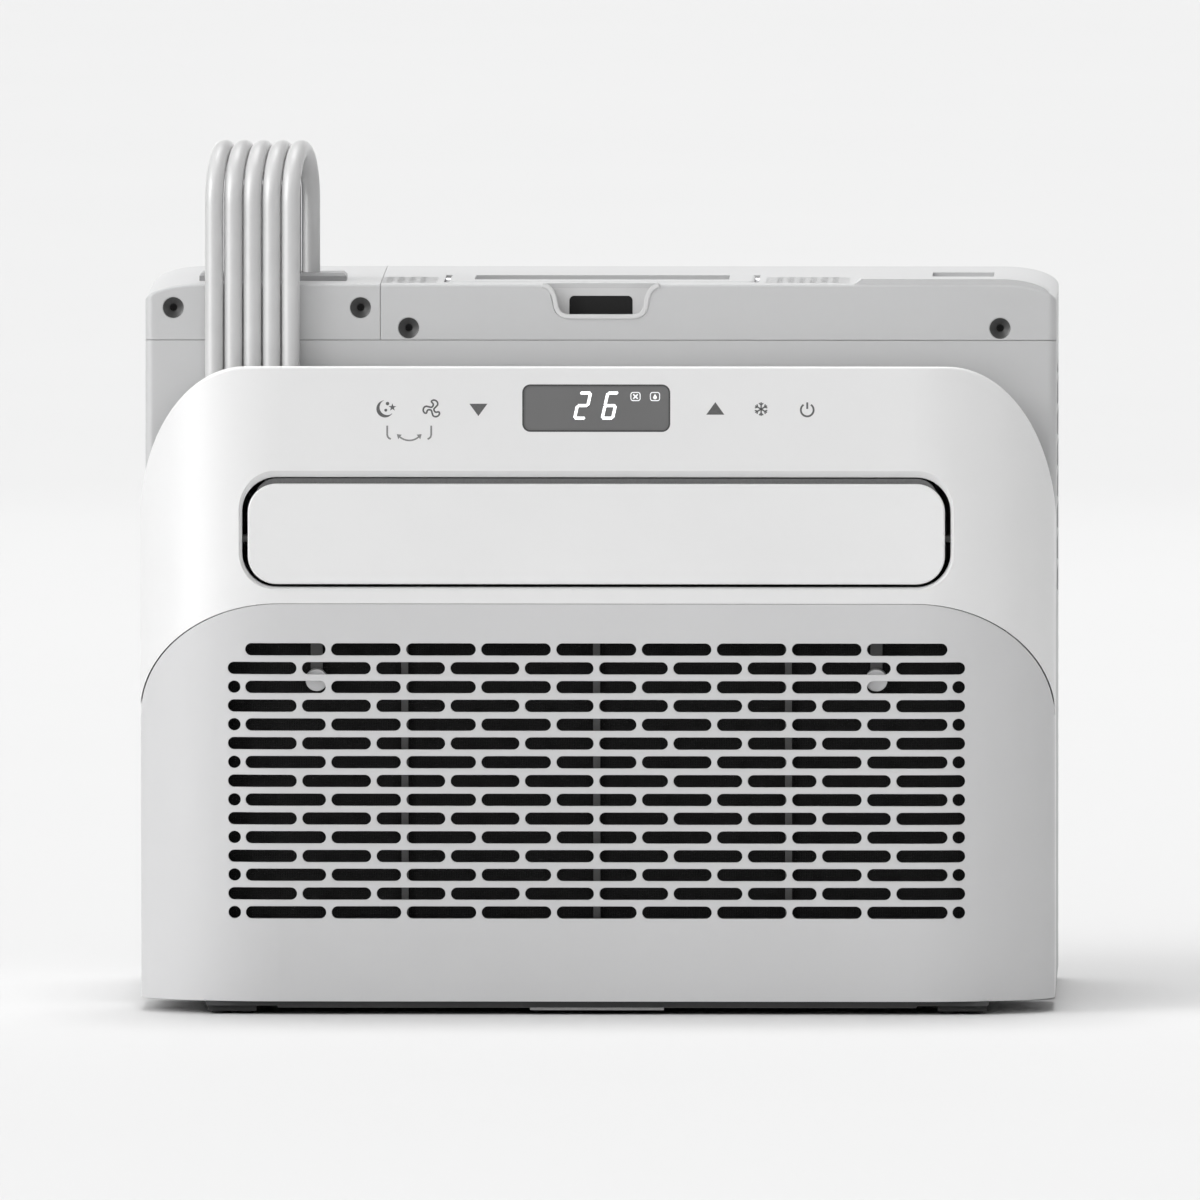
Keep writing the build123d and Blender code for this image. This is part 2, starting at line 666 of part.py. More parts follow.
def screw_bosses():
    """Round bosses behind the cover screws."""
    start = OUTDOOR_FRONT_Y + 1
    deep = COUNTERBORE_DEEP + 5
    return [rod((x, start, z), (0, 1, 0), COUNTERBORE_RADIUS + 1.8, deep) for x, z in SCREW_SPOTS]


def covers(skin):
    """Hose cover on the left and top cover on the right, cut from one skin."""
    lid = skin & block(-HALF, HALF, OUTDOOR_FRONT_Y, REAR_Y, COVER_Z + SEAM / 2, OUTDOOR_TOP)
    above = block(-HALF, HALF, OUTDOOR_FRONT_Y, REAR_Y, COVER_Z + SEAM / 2, OUTDOOR_TOP)
    for boss in screw_bosses():
        lid = lid + (boss & above)
    for hole in screw_holes():
        lid = lid - hole
    left = lid & block(-HALF, COVER_SPLIT_X - SEAM / 2, OUTDOOR_FRONT_Y, REAR_Y, 0, OUTDOOR_TOP)
    right = lid & block(COVER_SPLIT_X + SEAM / 2, HALF, OUTDOOR_FRONT_Y, REAR_Y, 0, OUTDOOR_TOP)
    return hose_cover(left), top_cover(right)


def hose_cover(lid):
    """Left cover, with the seat of the hose collar cut through its top."""
    return lid - block(
        COLLAR_X - COLLAR_HALF + 4, COLLAR_X + COLLAR_HALF - 4, HOSE_REAR_Y - 9, HOSE_REAR_Y + 9,
        COVER_Z, OUTDOOR_TOP + 1
    )


def top_cover(lid):
    """Right cover, with the hand recess, the handle well, the air slots and the pocket."""
    liner = slab_xz(hand_recess_face(1.8) - hand_recess_face(0), OUTDOOR_FRONT_Y + WALL, RECESS_BACK_Y)
    liner = liner & block(-30, 30, OUTDOOR_FRONT_Y, REAR_Y, RECESS_FLOOR - 3, OUTDOOR_TOP - WALL)
    cover = lid + liner - slab_xz(hand_recess_face(0), OUTDOOR_FRONT_Y - 1, RECESS_BACK_Y)
    floor = OUTDOOR_TOP - HANDLE_WELL
    front = HANDLE_FRONT_Y - 2
    back = HANDLE_PIVOT_Y + 12
    half = HANDLE_HALF + 2.2
    tub = block(-half - 2, half + 2, front - 2, back + 2, floor - 2, OUTDOOR_TOP - 1)
    tub = tub + block(-GRIP_HALF - 2, GRIP_HALF + 2, GRIP_BACK_Y - 42, GRIP_BACK_Y + 2, floor - 10, floor)
    well = block(-half, half, front, back, floor, OUTDOOR_TOP + 1)
    well = well + block(-GRIP_HALF, GRIP_HALF, GRIP_BACK_Y - 40, GRIP_BACK_Y, floor - 8, floor + 1)
    cover = cover + tub - well
    for x in (-half + 4, half - 12):
        cover = cover + block(x, x + 8, front + 5, front + 13, floor - 1, OUTDOOR_TOP + 0.3 - HANDLE_THICK)
    cover = cover + ridge() + pocket_floor() - pocket()
    for slot in air_slots():
        cover = cover - slot
    return cover


def ridge():
    """Low raised band along the right part of the front edge."""
    high = OUTDOOR_TOP + RIDGE_HIGH
    crest = EllipticalCenterArc((200, high - 8), 25.5, 8, 0, arc_size=90)
    under = OUTDOOR_TOP - 1
    lower = Polyline((200, high), (131, high), (126.5, under), (200, under), (225.5, high - 8))
    band = slab_xz(make_face(crest + lower), OUTDOOR_FRONT_Y + 0.6, OUTDOOR_FRONT_Y + 30)
    return band - outdoor_body(WALL)


def pocket():
    """Shallow rectangular pocket at the right rear of the top."""
    return block(166, 197, 50, 107, OUTDOOR_TOP - 3, OUTDOOR_TOP + 1)


def pocket_floor():
    """Thickened underside below the pocket."""
    return block(164, 199, 48, 109, OUTDOOR_TOP - 5, OUTDOOR_TOP - 1)


def air_slots():
    """Two fields of short slots in the top, laid like brickwork on each side of the handle."""
    cuts = []
    for side in (-1, 1):
        for row in range(12):
            y = OUTDOOR_FRONT_Y + 14 + row * 5.4
            shift = 5.6 * (row % 2)
            for column in range(4 - row % 2):
                x = side * (87 + shift + column * 11.2)
                cuts.append(Pos(x, y, OUTDOOR_TOP - 4) * extrude(SlotOverall(9, 2.8), 6))
    return cuts


def latch_plate():
    """Set-back plate in the hand recess, with the latch slot right through it."""
    front = RECESS_BACK_Y + 0.1
    back = RECESS_BACK_Y + 7
    plate = block(-24, 24, front, back, RECESS_FLOOR - 3, OUTDOOR_TOP - WALL - 0.1)
    slot = slab_xz(rounded_plate(-16, 16, LATCH_LOW, LATCH_HIGH, 2.4), front - 1, back + 1)
    return plate - slot


def cover_screws():
    """Four pan-head screws with cross recesses, at the bottom of their counterbores."""
    screws = []
    for x, z in SCREW_SPOTS:
        y = OUTDOOR_FRONT_Y + COUNTERBORE_DEEP
        head = rod((x, y, z), (0, -1, 0), 4.6, 2.4)
        head = fillet(head.faces().sort_by(Axis.Y)[0].edges(), 1.0)
        screw = head + rod((x, y, z), (0, 1, 0), SCREW_RADIUS, 10)
        for wide, high in ((3.6, 1.2), (1.2, 3.6)):
            screw = screw - block(x - wide / 2, x + wide / 2, y - 3, y - 1, z - high / 2, z + high / 2)
        screws.append(screw)
    return screws


def outdoor_front_plate(skin):
    """Front of the outdoor unit below the covers."""
    return skin & block(-HALF, HALF, OUTDOOR_FRONT_Y, CASE_SPLIT_Y - SEAM / 2, 0, COVER_Z - SEAM / 2)


def outdoor_rear_shell(skin):
    """Sides and back of the outdoor unit, cut out for the side louvres and the rear grille."""
    shell = skin & block(-HALF, HALF, CASE_SPLIT_Y + SEAM / 2, REAR_Y, 0, COVER_Z - SEAM / 2)
    shell = shell - block(-HALF - 1, HALF + 1, LOUVRE_FRONT_Y, LOUVRE_BACK_Y, LOUVRE_LOW, LOUVRE_HIGH)
    half = GRILLE_HALF
    window = rounded_plate(FAN_X - half, FAN_X + half, FAN_Z - half, FAN_Z + half, 12)
    return shell - slab_xz(window, REAR_Y - 10, REAR_Y + 1)


def side_louvre(side):
    """Frame with slanted slats that fills one side opening."""
    gap = 0.15
    y0 = LOUVRE_FRONT_Y + gap
    y1 = LOUVRE_BACK_Y - gap
    z0 = LOUVRE_LOW + gap
    z1 = LOUVRE_HIGH - gap
    x0 = HALF - LOUVRE_DEEP
    frame = block(x0, HALF, y0, y1, z0, z1) - block(x0, HALF, y0 + 3, y1 - 3, z0 + 3, z1 - 3)
    pitch = (z1 - z0) / LOUVRE_SLATS
    for number in range(LOUVRE_SLATS):
        z = z0 + (number + 0.5) * pitch
        place = Pos(HALF - LOUVRE_DEEP / 2, (y0 + y1) / 2, z) * Rot(0, 38, 0)
        slat = place * Box(LOUVRE_DEEP + 2, y1 - y0 - 2, 1.6)
        frame = frame + (slat & block(x0, HALF, y0, y1, z0, z1))
    if side < 0:
        frame = mirror(frame, about=Plane.YZ)
    return frame


def rear_grille():
    """Slotted panel over the fan outlet at the back, in the same brickwork as the front."""
    gap = 0.15
    half = GRILLE_HALF - gap
    outline = rounded_plate(FAN_X - half, FAN_X + half, FAN_Z - half, FAN_Z + half, 12 - gap)
    panel = slab_xz(outline, REAR_Y - 4, REAR_Y)
    cuts = []
    for row in range(REAR_ROWS):
        z = FAN_Z + (row - (REAR_ROWS - 1) / 2) * 9.5
        if row % 2 == 0:
            lengths = [58.0] * 4
        else:
            lengths = [27.6, 58.0, 58.0, 58.0, 27.6]
        x = FAN_X - (sum(lengths) + 2.8 * (len(lengths) - 1)) / 2
        for length in lengths:
            cuts.append(Pos(x + length / 2, z) * SlotOverall(length, 6.2))
            x = x + length + 2.8
    return panel - slab_xz(Sketch() + cuts, REAR_Y - 5, REAR_Y + 1)


def outdoor_base_pan():
    """Tray inside the foot of the outdoor unit, with a drain hole."""
    side = WALL + SEAM
    outer = outdoor_body(side) & block(-HALF, HALF, OUTDOOR_FRONT_Y, REAR_Y, FLOOR_GAP, FLOOR_GAP + 20)
    inner = outdoor_body(side + 1.6) & block(-HALF, HALF, OUTDOOR_FRONT_Y, REAR_Y, PAN_FLOOR, OUTDOOR_TOP)
    return outer - inner - rod((DRAIN_X, DRAIN_Y, FLOOR_GAP - 1), (0, 0, 1), DRAIN_RADIUS, 5)


def drain_plug():
    """Rubber plug in the drain hole."""
    stem = rod((DRAIN_X, DRAIN_Y, FLOOR_GAP), (0, 0, 1), DRAIN_RADIUS - RUNNING, PAN_FLOOR - FLOOR_GAP)
    return stem + rod((DRAIN_X, DRAIN_Y, FLOOR_GAP), (0, 0, -1), DRAIN_RADIUS + 4, 2.5)


def outdoor_feet():
    """Four rubber feet of the outdoor unit."""
    feet = []
    for x in (-195, 195):
        for y in (8, 146):
            foot = Pos(x, y, FLOOR_GAP / 2) * Cylinder(13, FLOOR_GAP)
            feet.append(chamfer(foot.edges().group_by(Axis.Z)[0], 1.2))
    return feet


# ---------------------------------------------------------------- outdoor unit: carry handle


def carry_handle():
    """Folding handle: a grip across the front and an arm on each side, bored for the pins."""
    low = OUTDOOR_TOP - HANDLE_THICK + 0.4
    high = OUTDOOR_TOP + 0.4
    back = HANDLE_PIVOT_Y + 6
    frame = block(-HANDLE_HALF, HANDLE_HALF, HANDLE_FRONT_Y, back, low, high)
    inside = HANDLE_HALF - HANDLE_ARM
    frame = frame - block(-inside, inside, HANDLE_FRONT_Y + HANDLE_GRIP, back + 1, low - 1, high + 1)
    corners = frame.edges().filter_by(Axis.Z).group_by(Axis.Y)[0]
    frame = fillet(corners, 4)
    frame = fillet(frame.faces().sort_by(Axis.Z)[-1].edges().group_by(Axis.Y)[0], 2)
    middle = (low + high) / 2
    start = (-HANDLE_HALF - 1, HANDLE_PIVOT_Y, middle)
    return frame - rod(start, (1, 0, 0), HANDLE_PIN_RADIUS + RUNNING, WIDTH / 2)


def handle_pins():
    """Two steel pins that the handle turns on, fixed in the ends of its well."""
    pins = []
    z = OUTDOOR_TOP + 0.4 - HANDLE_THICK / 2
    inside = HANDLE_HALF - HANDLE_ARM
    for side in (-1, 1):
        start = (side * inside, HANDLE_PIVOT_Y, z)
        pins.append(rod(start, (side, 0, 0), HANDLE_PIN_RADIUS, HANDLE_ARM + 2.2))
    return pins


# ---------------------------------------------------------------- outdoor unit: inside


def condenser_fan():
    """Axial fan: hub, shaft sleeve and pitched blades inside a swept ring."""
    hub = rod((0, -16, 0), (0, 1, 0), 30, 30)
    hub = fillet(hub.edges().group_by(Axis.Y)[0], 4)
    swept = rod((0, -20, 0), (0, 1, 0), FAN_RADIUS, 40) - rod((0, -20, 0), (0, 1, 0), 24, 40)
    blade = (Pos(FAN_RADIUS / 2, 0, 6) * Rot(34, 0, 0) * Box(FAN_RADIUS + 10, 2.4, 62)) & swept
    fan = hub
    for number in range(FAN_BLADES):
        fan = fan + Rot(0, 360 * number / FAN_BLADES, 0) * blade
    fan = fan - rod((0, -40, 0), (0, 1, 0), SHAFT_RADIUS, 52)
    return Pos(FAN_X, FAN_Y, FAN_Z) * fan


def fan_motor():
    """Motor in front of the condenser fan, with a stub that the hub's shaft turns in."""
    y = FAN_Y - 66
    motor = rod((FAN_X, y, FAN_Z), (0, 1, 0), 40, 42)
    motor = fillet(motor.edges().group_by(Axis.Y)[0], 5)
    motor = motor + rod((FAN_X, y + 42, FAN_Z), (0, 1, 0), 12, 4)
    return motor - rod((FAN_X, y + 20, FAN_Z), (0, 1, 0), SHAFT_RADIUS + RUNNING, 40)


def fan_shaft():
    """Steel shaft pressed in the hub."""
    return rod((FAN_X, FAN_Y - 40, FAN_Z), (0, 1, 0), SHAFT_RADIUS, 50)


def motor_bracket():
    """Two upright straps that carry the fan motor."""
    bracket = Part()
    y = FAN_Y - 68
    for x in (FAN_X - 26, FAN_X + 26):
        bracket = bracket + block(x - 7, x + 7, y, y + 1.9, PAN_FLOOR, FAN_Z + 120)
    return bracket + block(FAN_X - 33, FAN_X + 33, y, y + 1.9, FAN_Z - 30, FAN_Z + 30)


def fan_shroud():
    """Sheet round the fan with a short ring, standing in front of the condenser."""
    radius = FAN_RADIUS + 3
    sheet = block(FAN_X - 122, FAN_X + 122, SHROUD_Y, SHROUD_Y + 2, PAN_FLOOR, PAN_FLOOR + 300)
    ring = rod((FAN_X, SHROUD_Y - 22, FAN_Z), (0, 1, 0), radius + 2, 24)
    return sheet + ring - rod((FAN_X, SHROUD_Y - 30, FAN_Z), (0, 1, 0), radius, 40)


def compressor():
    """Upright welded can on a three-cornered foot, with its terminal cover."""
    can = rod((COMPRESSOR_X, COMPRESSOR_Y, PAN_FLOOR + 14), (0, 0, 1), 46, 176)
    can = fillet(can.edges().group_by(Axis.Z)[-1], 18)
    can = fillet(can.edges().group_by(Axis.Z)[0], 8)
    foot = Pos(COMPRESSOR_X, COMPRESSOR_Y, PAN_FLOOR + 11) * extrude(RegularPolygon(68, 3, rotation=90), 3)
    for spot in mount_spots():
        foot = foot - rod((spot[0], spot[1], PAN_FLOOR), (0, 0, 1), 5, 30)
    cover = rod((COMPRESSOR_X, COMPRESSOR_Y, PAN_FLOOR + 180), (0, 0, 1), 20, 22)
    return can + foot + cover


def mount_spots():
    """Places of the three compressor mounts."""
    spots = []
    for number in range(3):
        angle = math.radians(90 + 120 * number)
        spots.append((COMPRESSOR_X + 55 * math.cos(angle), COMPRESSOR_Y + 55 * math.sin(angle)))
    return spots


def compressor_mounts():
    """Three rubber mounts under the compressor foot, with a neck through each hole."""
    mounts = []
    for x, y in mount_spots():
        mount = rod((x, y, PAN_FLOOR), (0, 0, 1), 9, 11) + rod((x, y, PAN_FLOOR), (0, 0, 1), 4.9, 17)
        mounts.append(mount)
    return mounts


def accumulator():
    """Small suction accumulator beside the compressor."""
    tank = rod((COMPRESSOR_X - 28, COMPRESSOR_Y - 66, PAN_FLOOR + 60), (0, 0, 1), 18, 100)
    return fillet(tank.edges(), 8)


def tube_path(points, share):
    """Straight runs joined by tangent arcs, each arc as large as its shorter run allows."""
    radii = []
    for before, corner, after in zip(points, points[1:], points[2:]):
        arriving = Vector(*corner) - Vector(*before)
        leaving = Vector(*after) - Vector(*corner)
        turn = math.radians(arriving.get_angle(leaving))
        radii.append(share * min(arriving.length, leaving.length) / math.tan(turn / 2))
    return FilletPolyline(*points, radius=radii), radii


def refrigerant_pipes():
    """Copper pipes from the accumulator to the hose seat and from the compressor to the condenser."""
    top = PAN_FLOOR + 190
    tank = (COMPRESSOR_X - 28, COMPRESSOR_Y - 66)
    seat_x = COMPRESSOR_X - 24
    outlet_x = COMPRESSOR_X + 24.3
    riser_x = COMPRESSOR_X + 65
    coil_y = CONDENSER_COLUMNS[0]
    seat = (seat_x, HOSE_REAR_Y)
    runs = [
        [(*tank, PAN_FLOOR + 160), (*tank, 230), (*seat, 288), (*seat, OUTDOOR_TOP - 12)],
        [(outlet_x, COMPRESSOR_Y, top), (outlet_x, COMPRESSOR_Y, 234), (riser_x, coil_y, 234),
         (riser_x, coil_y, CONDENSER_LOW), (CONDENSER_LEFT, coil_y, CONDENSER_LOW)],
    ]
    pipes = []
    for points in runs:
        path, radii = tube_path(points, 0.45)
        print("refrigerant pipe bends", [round(radius, 1) for radius in radii])
        start = Plane(origin=path @ 0, z_dir=path % 0)
        pipes.append(sweep(start * Circle(PIPE_RADIUS), path=path))
    return pipes


def electrical_box():
    """Lidded box for the capacitor and the control board, above the compressor."""
    box = block(-216, -128, 44, 150, 274, 328)
    box = fillet(box.edges().filter_by(Axis.Z), 4)
    return box + block(-218, -126, 42, 152, 318, 322)


# ---------------------------------------------------------------- hose bundle


def hose_collar():
    """Grey collar on the hose cover that the five hoses go down into."""
    plate = block(
        COLLAR_X - COLLAR_HALF, COLLAR_X + COLLAR_HALF,
        HOSE_REAR_Y - 13, HOSE_REAR_Y + 13, OUTDOOR_TOP, COLLAR_TOP
    )
    plate = chamfer(plate.faces().sort_by(Axis.Z)[-1].edges(), 1.5)
    skirt = block(
        COLLAR_X - COLLAR_HALF + 4.2, COLLAR_X + COLLAR_HALF - 4.2, HOSE_REAR_Y - 8.8, HOSE_REAR_Y + 8.8,
        OUTDOOR_TOP - 12, OUTDOOR_TOP
    )
    return plate + skirt


def hose_points(number):
    """Route of one hose: up from the gland, over a half-round arch and down into the collar."""
    x0 = HOSE_FIRST_X + number * HOSE_PITCH
    span = HOSE_REAR_Y - HOSE_FRONT_Y
    radius = math.hypot(span, HOSE_SIDESTEP) / 2
    slope = math.tan(math.pi / 8)
    shoulder_z = HOSE_ARCH_Z - radius * (1 - slope)
    share = (1 - slope) / 2
    places = [
        (0, GLAND_TOP), (0, shoulder_z), (share, HOSE_ARCH_Z),
        (1 - share, HOSE_ARCH_Z), (1, shoulder_z), (1, COLLAR_TOP)
    ]
    return [(x0 + along * HOSE_SIDESTEP, HOSE_FRONT_Y + along * span, z) for along, z in places]


def link_hose(number):
    """One hose of the bundle as a plain tube along its route."""
    path, radii = tube_path(hose_points(number), 0.45)
    start = Plane(origin=path @ 0, z_dir=path % 0)
    tube = sweep(start * Circle(HOSE_RADIUS), path=path)
    wanted = math.pi * HOSE_RADIUS ** 2 * path.length
    bends = [round(radius, 1) for radius in radii]
    print("hose", number + 1, "length", round(path.length, 1), "bends", bends)
    print("hose", number + 1, "volume over section times length", round(tube.volume / wanted, 4))
    return tube


# ---------------------------------------------------------------- all nodes


def indoor_unit():
    """Write the nodes of the indoor unit."""
    skin = indoor_skin()
    save("indoor_front_shell", indoor_front_shell(skin))
    save("inlet_grille", inlet_grille(skin))
    save("indoor_rear_casing", indoor_rear_casing(skin))
    save("indoor_base_pan", indoor_base_pan())
    save("indoor_base_plate", indoor_base_plate())
    save("indoor_feet", *indoor_feet())
    save("display_window", display_window())
    save("control_board", control_board())
    save("outlet_flap", outlet_flap())
    save("flap_motor", flap_motor())
    save("outlet_duct", outlet_duct())
    for number in range(VANES):
        save(f"swing_vane_{number + 1}", swing_vane(number))
    save("vane_link_bar", vane_link_bar())
    save("filter_frame", filter_frame())
    save("filter_mesh", filter_mesh())
    save("grille_catches", *grille_catches())
    save("evaporator_tubes", *coil_tubes(-170, 170, EVAPORATOR_COLUMNS, 34, 7, 25.4, TUBE_RADIUS))
    save("evaporator_fins", *coil_fins(
        -165, 165, -140, -118, 24, 197, 6, EVAPORATOR_COLUMNS, 34, 7, 25.4, TUBE_RADIUS
    ))
    save("condensate_pan", condensate_pan())
    save("blower_wheel", blower_wheel())
    save("blower_scroll", *blower_scroll())
    save("blower_motor", blower_motor())
    save("blower_bearing", blower_bearing())
    save("hose_gland", hose_gland())


def outdoor_unit():
    """Write the nodes of the outdoor unit."""
    skin = outdoor_skin()
    left, right = covers(skin)
    save("hose_cover", left)
    save("top_cover", right)
    save("latch_plate", latch_plate())
    save("cover_screws", *cover_screws())
    save("outdoor_front_plate", outdoor_front_plate(skin))
    save("outdoor_rear_shell", outdoor_rear_shell(skin))
    save("side_louvres", side_louvre(-1), side_louvre(1))
    save("rear_grille", rear_grille())
    save("outdoor_base_pan", outdoor_base_pan())
    save("drain_plug", drain_plug())
    save("outdoor_feet", *outdoor_feet())
    save("carry_handle", carry_handle())
    save("handle_pins", *handle_pins())
    save("condenser_tubes", *coil_tubes(
        CONDENSER_LEFT, 190, CONDENSER_COLUMNS, CONDENSER_LOW, 11, 25.4, TUBE_RADIUS
    ))
    save("condenser_fins", *coil_fins(
        -52, 184, CONDENSER_Y - 11, CONDENSER_Y + 11, 28, 306, 6,
        CONDENSER_COLUMNS, CONDENSER_LOW, 11, 25.4, TUBE_RADIUS
    ))
    save("condenser_fan", condenser_fan())
    save("fan_shaft", fan_shaft())
    save("fan_motor", fan_motor())
    save("motor_bracket", motor_bracket())
    save("fan_shroud", fan_shroud())
    save("compressor", compressor())
    save("compressor_mounts", *compressor_mounts())
    save("accumulator", accumulator())
    save("refrigerant_pipes", *refrigerant_pipes())
    save("electrical_box", electrical_box())


def hose_bundle():
    """Write the nodes of the hose bundle."""
    save("hose_collar", hose_collar())
    for number in range(HOSES):
        save(f"link_hose_{number + 1}", link_hose(number))


indoor_unit()
outdoor_unit()
hose_bundle()
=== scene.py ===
"""Looks of a split window air conditioner: two units back to back with five hoses over the top."""

import bpy
import bmesh
import json
import math
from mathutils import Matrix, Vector


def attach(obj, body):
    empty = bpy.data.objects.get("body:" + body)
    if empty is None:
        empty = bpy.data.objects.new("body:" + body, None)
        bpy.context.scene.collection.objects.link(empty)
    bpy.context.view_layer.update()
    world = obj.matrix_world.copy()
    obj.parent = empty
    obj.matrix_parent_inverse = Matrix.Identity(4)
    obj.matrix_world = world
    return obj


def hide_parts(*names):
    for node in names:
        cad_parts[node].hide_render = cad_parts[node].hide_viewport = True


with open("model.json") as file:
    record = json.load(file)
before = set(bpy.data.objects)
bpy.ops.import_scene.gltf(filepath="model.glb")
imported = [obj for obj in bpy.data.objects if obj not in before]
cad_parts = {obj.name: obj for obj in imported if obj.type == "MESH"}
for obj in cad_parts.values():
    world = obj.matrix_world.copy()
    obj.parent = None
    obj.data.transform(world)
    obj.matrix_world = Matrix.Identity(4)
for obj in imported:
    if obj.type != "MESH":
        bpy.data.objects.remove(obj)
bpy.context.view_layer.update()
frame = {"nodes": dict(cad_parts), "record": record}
nodes = frame["nodes"]
MM = 0.001


def add_object(name, data):
    """A new object in the scene that shows the data."""
    thing = bpy.data.objects.new(name, data)
    bpy.context.scene.collection.objects.link(thing)
    return thing


def direction(azimuth, elevation):
    """Unit vector from the object, in degrees: azimuth 0 points to the front, 90 to the right."""
    a = math.radians(azimuth)
    e = math.radians(elevation)
    return Vector((math.sin(a) * math.cos(e), -math.cos(a) * math.cos(e), math.sin(e)))


def aim(thing, back):
    """Turn a camera or a light so that it looks along the opposite of back."""
    thing.rotation_mode = "QUATERNION"
    thing.rotation_quaternion = (-back).to_track_quat("-Z", "Y")


# ---------------------------------------------------------------- camera

CAMERA_AZIMUTH = 0.85
CAMERA_ELEVATION = 3.0
CAMERA_AWAY = 27.0
CAMERA_TARGET = Vector((0.0019, -0.175, 0.209))
SENSOR_WIDE = 36
VIEW_WIDE = 0.6  # metres across the picture at the target


def make_camera():
    """A far, long lens, a little above level and a little to the right of the front."""
    back = direction(CAMERA_AZIMUTH, CAMERA_ELEVATION)
    data = bpy.data.cameras.new("camera")
    data.sensor_width = SENSOR_WIDE
    data.lens = SENSOR_WIDE * CAMERA_AWAY / VIEW_WIDE
    data.clip_start = 0.1
    data.clip_end = 200
    camera = add_object("camera", data)
    camera.location = CAMERA_TARGET + back * CAMERA_AWAY
    aim(camera, back)
    bpy.context.scene.camera = camera


make_camera()


# ---------------------------------------------------------------- materials


class Nodes:
    """A node material under construction."""

    def __init__(self, name):
        self.material = bpy.data.materials.new(name)
        self.material.use_nodes = True
        self.tree = self.material.node_tree
        self.shader = self.tree.nodes["Principled BSDF"]
        self.place = self.add("ShaderNodeTexCoord").outputs["Object"]

    def add(self, kind, **values):
        node = self.tree.nodes.new(kind)
        for key, value in values.items():
            setattr(node, key, value)
        return node

    def link(self, a, b):
        self.tree.links.new(a, b)

    def noise(self, scale, detail=2.0, stretch=None):
        """Noise over the object's own space, in repeats per metre."""
        node = self.add("ShaderNodeTexNoise")
        node.inputs["Scale"].default_value = scale
        node.inputs["Detail"].default_value = detail
        where = self.place
        if stretch:
            mapping = self.add("ShaderNodeMapping")
            mapping.inputs["Scale"].default_value = stretch
            self.link(where, mapping.inputs["Vector"])
            where = mapping.outputs["Vector"]
        self.link(where, node.inputs["Vector"])
        return node.outputs["Fac"]

    def ramp(self, factor, low, high, start=0.3, stop=0.7):
        """Colour that runs from low to high with the factor."""
        node = self.add("ShaderNodeValToRGB")
        node.color_ramp.elements[0].position = start
        node.color_ramp.elements[1].position = stop
        node.color_ramp.elements[0].color = (*low, 1)
        node.color_ramp.elements[1].color = (*high, 1)
        self.link(factor, node.inputs["Fac"])
        return node.outputs["Color"]

    def spread(self, factor, low, high):
        """Number that runs from low to high with the factor."""
        node = self.add("ShaderNodeMapRange")
        node.inputs["To Min"].default_value = low
        node.inputs["To Max"].default_value = high
        self.link(factor, node.inputs["Value"])
        return node.outputs["Result"]

    def bump(self, height, distance, strength=1.0, under=None):
        """Bump of a depth in metres, over an earlier bump if there is one."""
        node = self.add("ShaderNodeBump")
        node.inputs["Distance"].default_value = distance
        node.inputs["Strength"].default_value = strength
        self.link(height, node.inputs["Height"])
        if under:
            self.link(under, node.inputs["Normal"])
        return node.outputs["Normal"]

    def soft_edges(self, radius):
        """Normal rounded at the edges by a radius in metres."""
        node = self.add("ShaderNodeBevel", samples=4)
        node.inputs["Radius"].default_value = radius
        return node.outputs["Normal"]


def grey(value):
    """Neutral colour of a linear brightness."""
    return (value, value, value)


def tint(colour, factor):
    """A colour made brighter or darker."""
    return tuple(min(1.0, c * factor) for c in colour)


def plastic(name, colour, rough, grain=2600, grain_deep=0.00002, edge=0.0004):
    """Moulded plastic: fine spark texture, slight cloudiness, softened edges. Lengths in metres."""
    m = Nodes(name)
    cloud = m.noise(9, 3)
    m.link(m.ramp(cloud, tint(colour, 0.985), tint(colour, 1.015)), m.shader.inputs["Base Color"])
    m.link(m.spread(m.noise(grain / 6, 2), rough - 0.04, rough + 0.05), m.shader.inputs["Roughness"])
    normal = m.soft_edges(edge) if edge else None
    m.link(m.bump(m.noise(grain, 3), grain_deep, 0.5, normal), m.shader.inputs["Normal"])
    m.shader.inputs["IOR"].default_value = 1.48
    return m.material


def metal(name, colour, rough, streak=(1, 1, 1), deep=0.00002, metallic=1.0):
    """Worked metal: fine streaks and uneven gloss."""
    m = Nodes(name)
    lines = m.noise(900, 3, streak)
    m.link(m.ramp(m.noise(40, 3), tint(colour, 0.86), tint(colour, 1.08)), m.shader.inputs["Base Color"])
    m.link(m.spread(lines, rough - 0.08, rough + 0.12), m.shader.inputs["Roughness"])
    m.link(m.bump(lines, deep, 0.6), m.shader.inputs["Normal"])
    m.shader.inputs["Metallic"].default_value = metallic
    return m.material


def rubber(name):
    """Black rubber: dull, with a pale bloom."""
    m = Nodes(name)
    m.link(m.ramp(m.noise(300, 4), grey(0.018), grey(0.034)), m.shader.inputs["Base Color"])
    m.link(m.spread(m.noise(700, 2), 0.66, 0.86), m.shader.inputs["Roughness"])
    m.link(m.bump(m.noise(2200, 3), 0.00004, 0.6), m.shader.inputs["Normal"])
    return m.material


